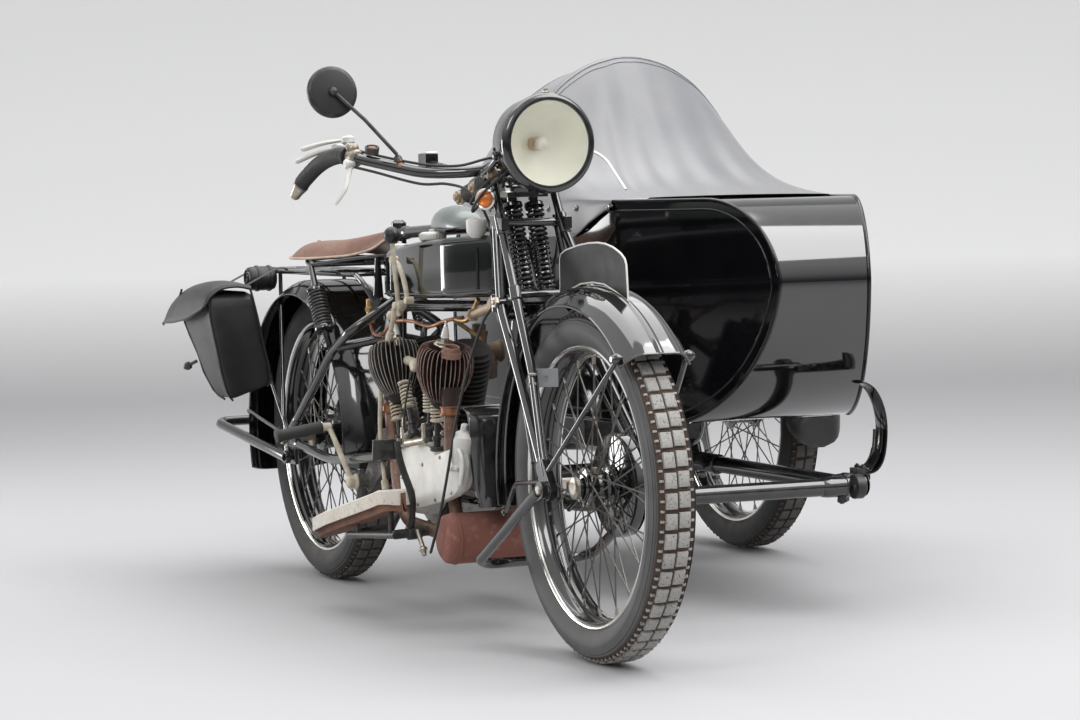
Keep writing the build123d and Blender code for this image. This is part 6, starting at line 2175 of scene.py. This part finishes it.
# %% Seat cushions
def cushion(corner_low, corner_high, crown, pleats, across_axis_half):
    """A crowned closed form over a slanted bed, with shallow pleats along it."""
    (y0, z0), (y1, z1) = corner_low, corner_high
    along = Vector((0, y1 - y0, z1 - z0))
    up = Vector((0, -(z1 - z0), y1 - y0)).normalized()
    rings = []
    steps, wide = 18, 26
    for i in range(steps + 1):
        t = i / steps
        ring_top, ring_low = [], []
        round_t = (1 - abs(2 * t - 1) ** 5)
        for k in range(wide + 1):
            u = 2 * k / wide - 1
            round_u = (1 - abs(u) ** 6)
            ridge = 5 * abs(sin((u + 1) * pi * pleats / 2)) ** 0.7
            height = (crown + ridge) * (max(round_t, 0) ** 0.45) * (max(round_u, 0) ** 0.45)
            base = Vector((BODY_X + u * across_axis_half, y0, z0)) + along * t
            ring_top.append(base + up * height)
            ring_low.append(base - up * 14 * max(round_u, 0) ** 0.45 * max(round_t, 0) ** 0.45)
        rings.append(ring_top + ring_low[::-1])
    return skinned(rings)


seat_cushion = piece("seat_cushion", cushion((-566, 520), (-150, 492), 46, 5, 200), seat_leather,
    replaces="sidecar_seat", smooth=60)
back_cushion = piece("seat_back", cushion((-132, 500), (-58, 822), 30, 7, 200), seat_leather, smooth=60)
piece("seat_box", block(BODY_X - 196, BODY_X + 196, -556, -140, (404, 512)), seat_leather, bevel=4)
back_board = skinned([[(BODY_X + x, y, z)
    for y, z in ((-128, 410), (-52, 826), (-4, 826), (-76, 410))] for x in (-200, 200)])
piece("seat_board", back_board, seat_leather, bevel=5)

# %% [markdown]
# ## Sidecar hood
# The hood is one sheet of coated cloth. A bent hoop holds its front edge high, and from there an apron
# sweeps down in a hollow curve to the deck, where studs hold it. A second hoop stands behind, and the
# sides hang over the body's rim. The cloth pulls into soft folds between the hoop's top and the studs.

# %% Hood cloth
HOOD = [(-744, 270, 5), (-735, 272, 8), (-700, 276, 15), (-660, 279, 25), (-620, 282, 38),
    (-580, 284, 53), (-540, 285, 72), (-500, 286, 95), (-460, 287, 124), (-420, 287, 158),
    (-385, 287, 194), (-350, 287, 236), (-320, 287, 274), (-290, 287, 308), (-268, 287, 328),
    (-256, 287, 335), (-246, 287, 337), (-232, 287, 334), (-200, 286, 328), (-160, 286, 322),
    (-120, 285, 316), (-90, 285, 311), (-78, 285, 312), (-66, 284, 308), (-20, 281, 278), (30, 276, 238),
    (70, 268, 204), (100, 260, 160), (125, 250, 110), (142, 243, 66), (149, 240, 44), (153, 239, 26),
    (156, 238, 12), (158, 237, 4)]
CLOTH = 4
ROUND = 60
HOOD_FRONT = -744
FOLDS = [(0.43, 0.29, 0.022, 15), (0.34, 0.20, 0.03, 7), (0.50, 0.40, 0.02, 6), (0.56, 0.50, 0.03, 5),
    (0.66, 0.62, 0.035, 9), (0.77, 0.74, 0.03, 5), (0.25, 0.13, 0.025, 5)]


def share(far, near, length):
    """How much of this length lies between two places, from 0 to 1."""
    return max(0, min(1, (far - near) / length))


def hood_ring(y, half, height):
    """One section of the hood from its right skirt over the top to its left skirt."""
    apron = share(y, HOOD_FRONT, 140) * share(-250, y, 120)
    side_drop = 8 + 66 * share(y, HOOD_FRONT, 150)
    loose = max(0, 1 - abs(y + 600) / 160)
    ring = []
    for t in (1.0, 0.8, 0.6, 0.4, 0.2):
        ring.append((-(half_width(y) + 8 + (2.5 * sin(y * 0.035) + 3 * sin(y * 0.11) * loose) * t), y,
            BODY_TOP - side_drop * t))
    for i in range(ROUND + 1):
        u = i / ROUND
        a = pi * (1 - u)
        down = share(-270, y, 390)
        fold = 0
        for top, low, width, depth in FOLDS:
            off = (u - top - (low - top) * down) / width
            fold -= depth * apron * 2.718 ** -(off ** 2)
        ripple = 1.2 * sin(u * 34 + y * 0.008) * apron
        x = (half + fold * 0.5) * cos(a)
        z = (height + fold + ripple) * sin(a)
        edge = max(0, 1 - z / 26)
        x += (half_width(y) + 6 - half) * edge * (1 if x > 0 else -1) if sin(a) < 0.5 else 0
        ring.append((x, y, BODY_TOP + 3 + z))
    door_drop = min(side_drop, 20 + max(0, abs(y + 550) - 150) * 1.1)
    for t in (0.2, 0.4, 0.6, 0.8, 1.0):
        ring.append((half_width(y) + 7 + 2.5 * sin(y * 0.03 + 1) * t, y, BODY_TOP - door_drop * t))
    return [(BODY_X + x, y, z) for x, y, z in ring]


outer_rings = [hood_ring(*row) for row in HOOD]
points = [p for ring in outer_rings for p in ring]
n = len(outer_rings[0])
faces = []
for r in range(len(outer_rings) - 1):
    for k in range(n - 1):
        a = r * n + k
        faces.append([a, a + 1, a + n + 1, a + n])
centre = Vector((BODY_X, -200, 880))
inner = [tuple(Vector(p) + (centre - Vector(p)).normalized() * CLOTH) for p in points]
# The sheet's grey colour is a painted reflection of bright sky on black cloth.
hood = piece("hood_sheet", thick_sheet(points, inner, faces), hood_cloth, replaces="sidecar_hood",
    smooth=80, subdivide=1)

# %% [markdown]
# Seams are thin lines laid on the cloth where its parts are sewn. The hoops run close under the cloth,
# and the studs hold its hem to the body. The cloth is measured here too, along both ways, because a sheet
# of cloth has a flat size that it was cut to.

# %% Hood seams, hoops and studs
def over_hood(y, lift):
    """The line across the hood at one place along it, lifted off the cloth."""
    for (y0, *low), (y1, *high) in zip(HOOD, HOOD[1:]):
        if y <= y1:
            t = (y - y0) / (y1 - y0)
            half, height = (a + (b - a) * t for a, b in zip(low, high))
            break
    line = hood_ring(y, half, height)[4:-4]
    middle = Vector((BODY_X, y, BODY_TOP + 40))
    return [Vector(p) + (Vector(p) - middle).normalized() * lift for p in line]


SEAMS = ((-262, 0.6, 1.6), (-275, 0.4, 1.2), (-88, 0.6, 1.6), (-60, 0.6, 1.6))
hems = [pipe(over_hood(y, lift), thick, 6) for y, lift, thick in SEAMS]
hems += [pipe([ring[end] for ring in outer_rings], 2.6, 8) for end in (0, -1)]
hood_seams = piece("hood_seams", hems, hood_cloth, smooth=70)


def run(line):
    """The length of a line of points, in metres."""
    return sum((Vector(b) - Vector(a)).length for a, b in zip(line, line[1:])) * MM


girth = max(run(ring) for ring in outer_rings)
spine = max(run(line) for line in zip(*outer_rings))
for a, b, c, d in faces:
    p, q, r, s = (Vector(points[k]) for k in (a, b, c, d))
hoops = [pipe(over_hood(y, -14)[4:-4], 7, 10) for y in (-248, -78)]
piece("hood_hoops", hoops, satin_black, smooth=60)
studs = []
for s in (-1, 1):
    for y in (-734, -600, -460, -300, -120, 70):
        x = BODY_X + s * (half_width(y) + 9)
        studs.append(turned((x, y, 857), (x + s * 5, y, 857), [(0, 7), (2, 7), (3.5, 5), (5, 2)], 14))
piece("hood_studs", studs, old_nickel)

# %% [markdown]
# In front a flat leaf bends up in a C from the chassis to the nose, with a second leaf inside its lower
# half. Behind, a round spring bar carries the tail.

# %% Sidecar springs
C_SPRING = [(740, 284), (772, 284), (800, 290), (817, 312), (825, 350), (826, 392), (818, 430),
    (802, 460), (784, 474), (770, 479)]
leaf = smooth_route([(x, -1130, z) for x, z in C_SPRING], 5)
leaf_shape = pipe(leaf, 25, 16, flat=0.16)
second = pipe([p + Vector((-9 if p.x > 790 else 0, 0, 9 if p.z < 330 else 0)) for p in leaf[6:24]], 22,
    12, flat=0.14)
clamps = [block(756, 788, -1146, -1114, (271, 297))]
clamps += [hexagon((772, y, 296), (772, y, 314), 7, 6) for y in (-1142, -1118)]
tail_leaf = smooth_route([(600, 262, 276), (600, 330, 268), (600, 384, 272), (600, 408, 310),
    (600, 398, 366), (600, 360, 396), (600, 322, 404)], 6)
piece("body_springs", [leaf_shape, second, pipe(tail_leaf, 10, 12)], enamel, replaces="sidecar_springs")
piece("spring_clamps", clamps, satin_black, bevel=1)
end_clamp = added(bar((730, -1172, 262), (752, -1172, 262), 26, sides=28),
    hexagon((741, -1178, 262), (741, -1198, 262), 15, 10), bar((716, -1150, 250), (716, -1150, 232), 9),
    hexagon((716, -1150, 236), (716, -1150, 216), 11, 8))
piece("chassis_end_clamp", end_clamp, satin_black, bevel=1)
print("sidecar done", {k: v for k, v in triangle_count.items() if v > 20000})

# %% [markdown]
# ## The studio
# The floor is one pale sheet that curves up behind the machine, so that no edge shows between floor and
# wall. The light around is grey low down and bright above, which gives the gloss enamel something to
# reflect.

# %% Floor, wall and surrounding light
COVE = [(-9000, 0), (6200, 0)] + [(6200 + 5200 * sin(radians(a)), 5200 - 5200 * cos(radians(a)))
    for a in range(5, 91, 5)]
COVE += [(11400, 12000)]
cove_rings = []
for y, z in COVE:
    ends = [(x * cos(YAW) - y * sin(YAW), x * sin(YAW) + y * cos(YAW), z - 2) for x in (-14000, 14000)]
    cove_rings.append(ends)
cove_points, cove_faces = skinned(cove_rings, open_section=True)
floor_mesh = bpy.data.meshes.new("floor")
floor_mesh.from_pydata([place(p) for p in cove_points], [], cove_faces)
floor_mesh.polygons.foreach_set("use_smooth", [True] * len(floor_mesh.polygons))
floor = bpy.data.objects.new("floor", floor_mesh)
bpy.context.scene.collection.objects.link(floor)
backdrop = bpy.data.materials.new("backdrop")
backdrop.use_nodes = True
tree = backdrop.node_tree
shader = tree.nodes["Principled BSDF"]
space = node(tree, "ShaderNodeTexCoord")
height_of = node(tree, "ShaderNodeSeparateXYZ", [(space.outputs["Object"], "Vector")])
paler = node(tree, "ShaderNodeValToRGB", [(height_of.outputs["Z"], "Fac")])
paler.color_ramp.elements[0].color = (0.42, 0.42, 0.43, 1)
paler.color_ramp.elements[1].color = (0.86, 0.86, 0.86, 1)
paler.color_ramp.elements[1].position = 0.5
tree.links.new(paler.outputs["Color"], shader.inputs["Base Color"])
shader.inputs["Roughness"].default_value = 0.85
floor_mesh.materials.append(backdrop)
if floor_mesh.polygons[0].normal.z < 0:
    floor_mesh.flip_normals()
turned_away = node(tree, "ShaderNodeNewGeometry")
see_through = node(tree, "ShaderNodeBsdfTransparent")
either = node(tree, "ShaderNodeMixShader", [
    (turned_away.outputs["Backfacing"], "Fac"), (shader.outputs[0], 1), (see_through.outputs[0], 2),
])
tree.links.new(either.outputs[0], tree.nodes["Material Output"].inputs["Surface"])

world = bpy.data.worlds.new("studio")
bpy.context.scene.world = world
world.use_nodes = True
sky = world.node_tree
for old in list(sky.nodes):
    sky.nodes.remove(old)
space = node(sky, "ShaderNodeTexCoord")
parts_of = node(sky, "ShaderNodeSeparateXYZ", [(space.outputs["Generated"], "Vector")])
steps_of = node(sky, "ShaderNodeValToRGB", [(parts_of.outputs["Z"], "Fac")])
steps_of.color_ramp.elements[0].color = (0.11, 0.115, 0.12, 1)
steps_of.color_ramp.elements[0].position = 0.04
steps_of.color_ramp.elements[1].color = (1.0, 1.0, 1.0, 1)
steps_of.color_ramp.elements[1].position = 0.45
lit = node(sky, "ShaderNodeBackground", [(steps_of.outputs["Color"], "Color")], Strength=1.0)
node(sky, "ShaderNodeOutputWorld", [(lit.outputs[0], "Surface")])


def soft_lamp(name, location, target, size, power):
    """A square soft lamp that points at a target, both in layout millimetres."""
    data = bpy.data.lights.new(name, "AREA")
    data.size = size
    data.energy = power
    lamp = bpy.data.objects.new(name, data)
    bpy.context.scene.collection.objects.link(lamp)
    lamp.location = place(location)
    lamp.rotation_mode = "QUATERNION"
    lamp.rotation_quaternion = (place(target) - lamp.location).to_track_quat("-Z", "Y")
    return lamp


soft_lamp("key_lamp", (-3000, -3600, 3400), (200, -700, 400), 1.6, 50)
soft_lamp("front_lamp", (2300, -3200, 4300), (300, -900, 500), 3.4, 180)
soft_lamp("top_lamp", (300, 400, 4300), (300, -500, 400), 4.4, 130)
soft_lamp("side_lamp", (-2900, 3120, 780), (-66, -1000, 740), 1.4, 60)

# %% [markdown]
# ## Last look
# The last line prints the number of triangles and the largest piece.

# %% Sizes and finish
print("triangles", sum(triangle_count.values()), "largest",
    max(triangle_count.items(), key=lambda row: row[1], default=None))
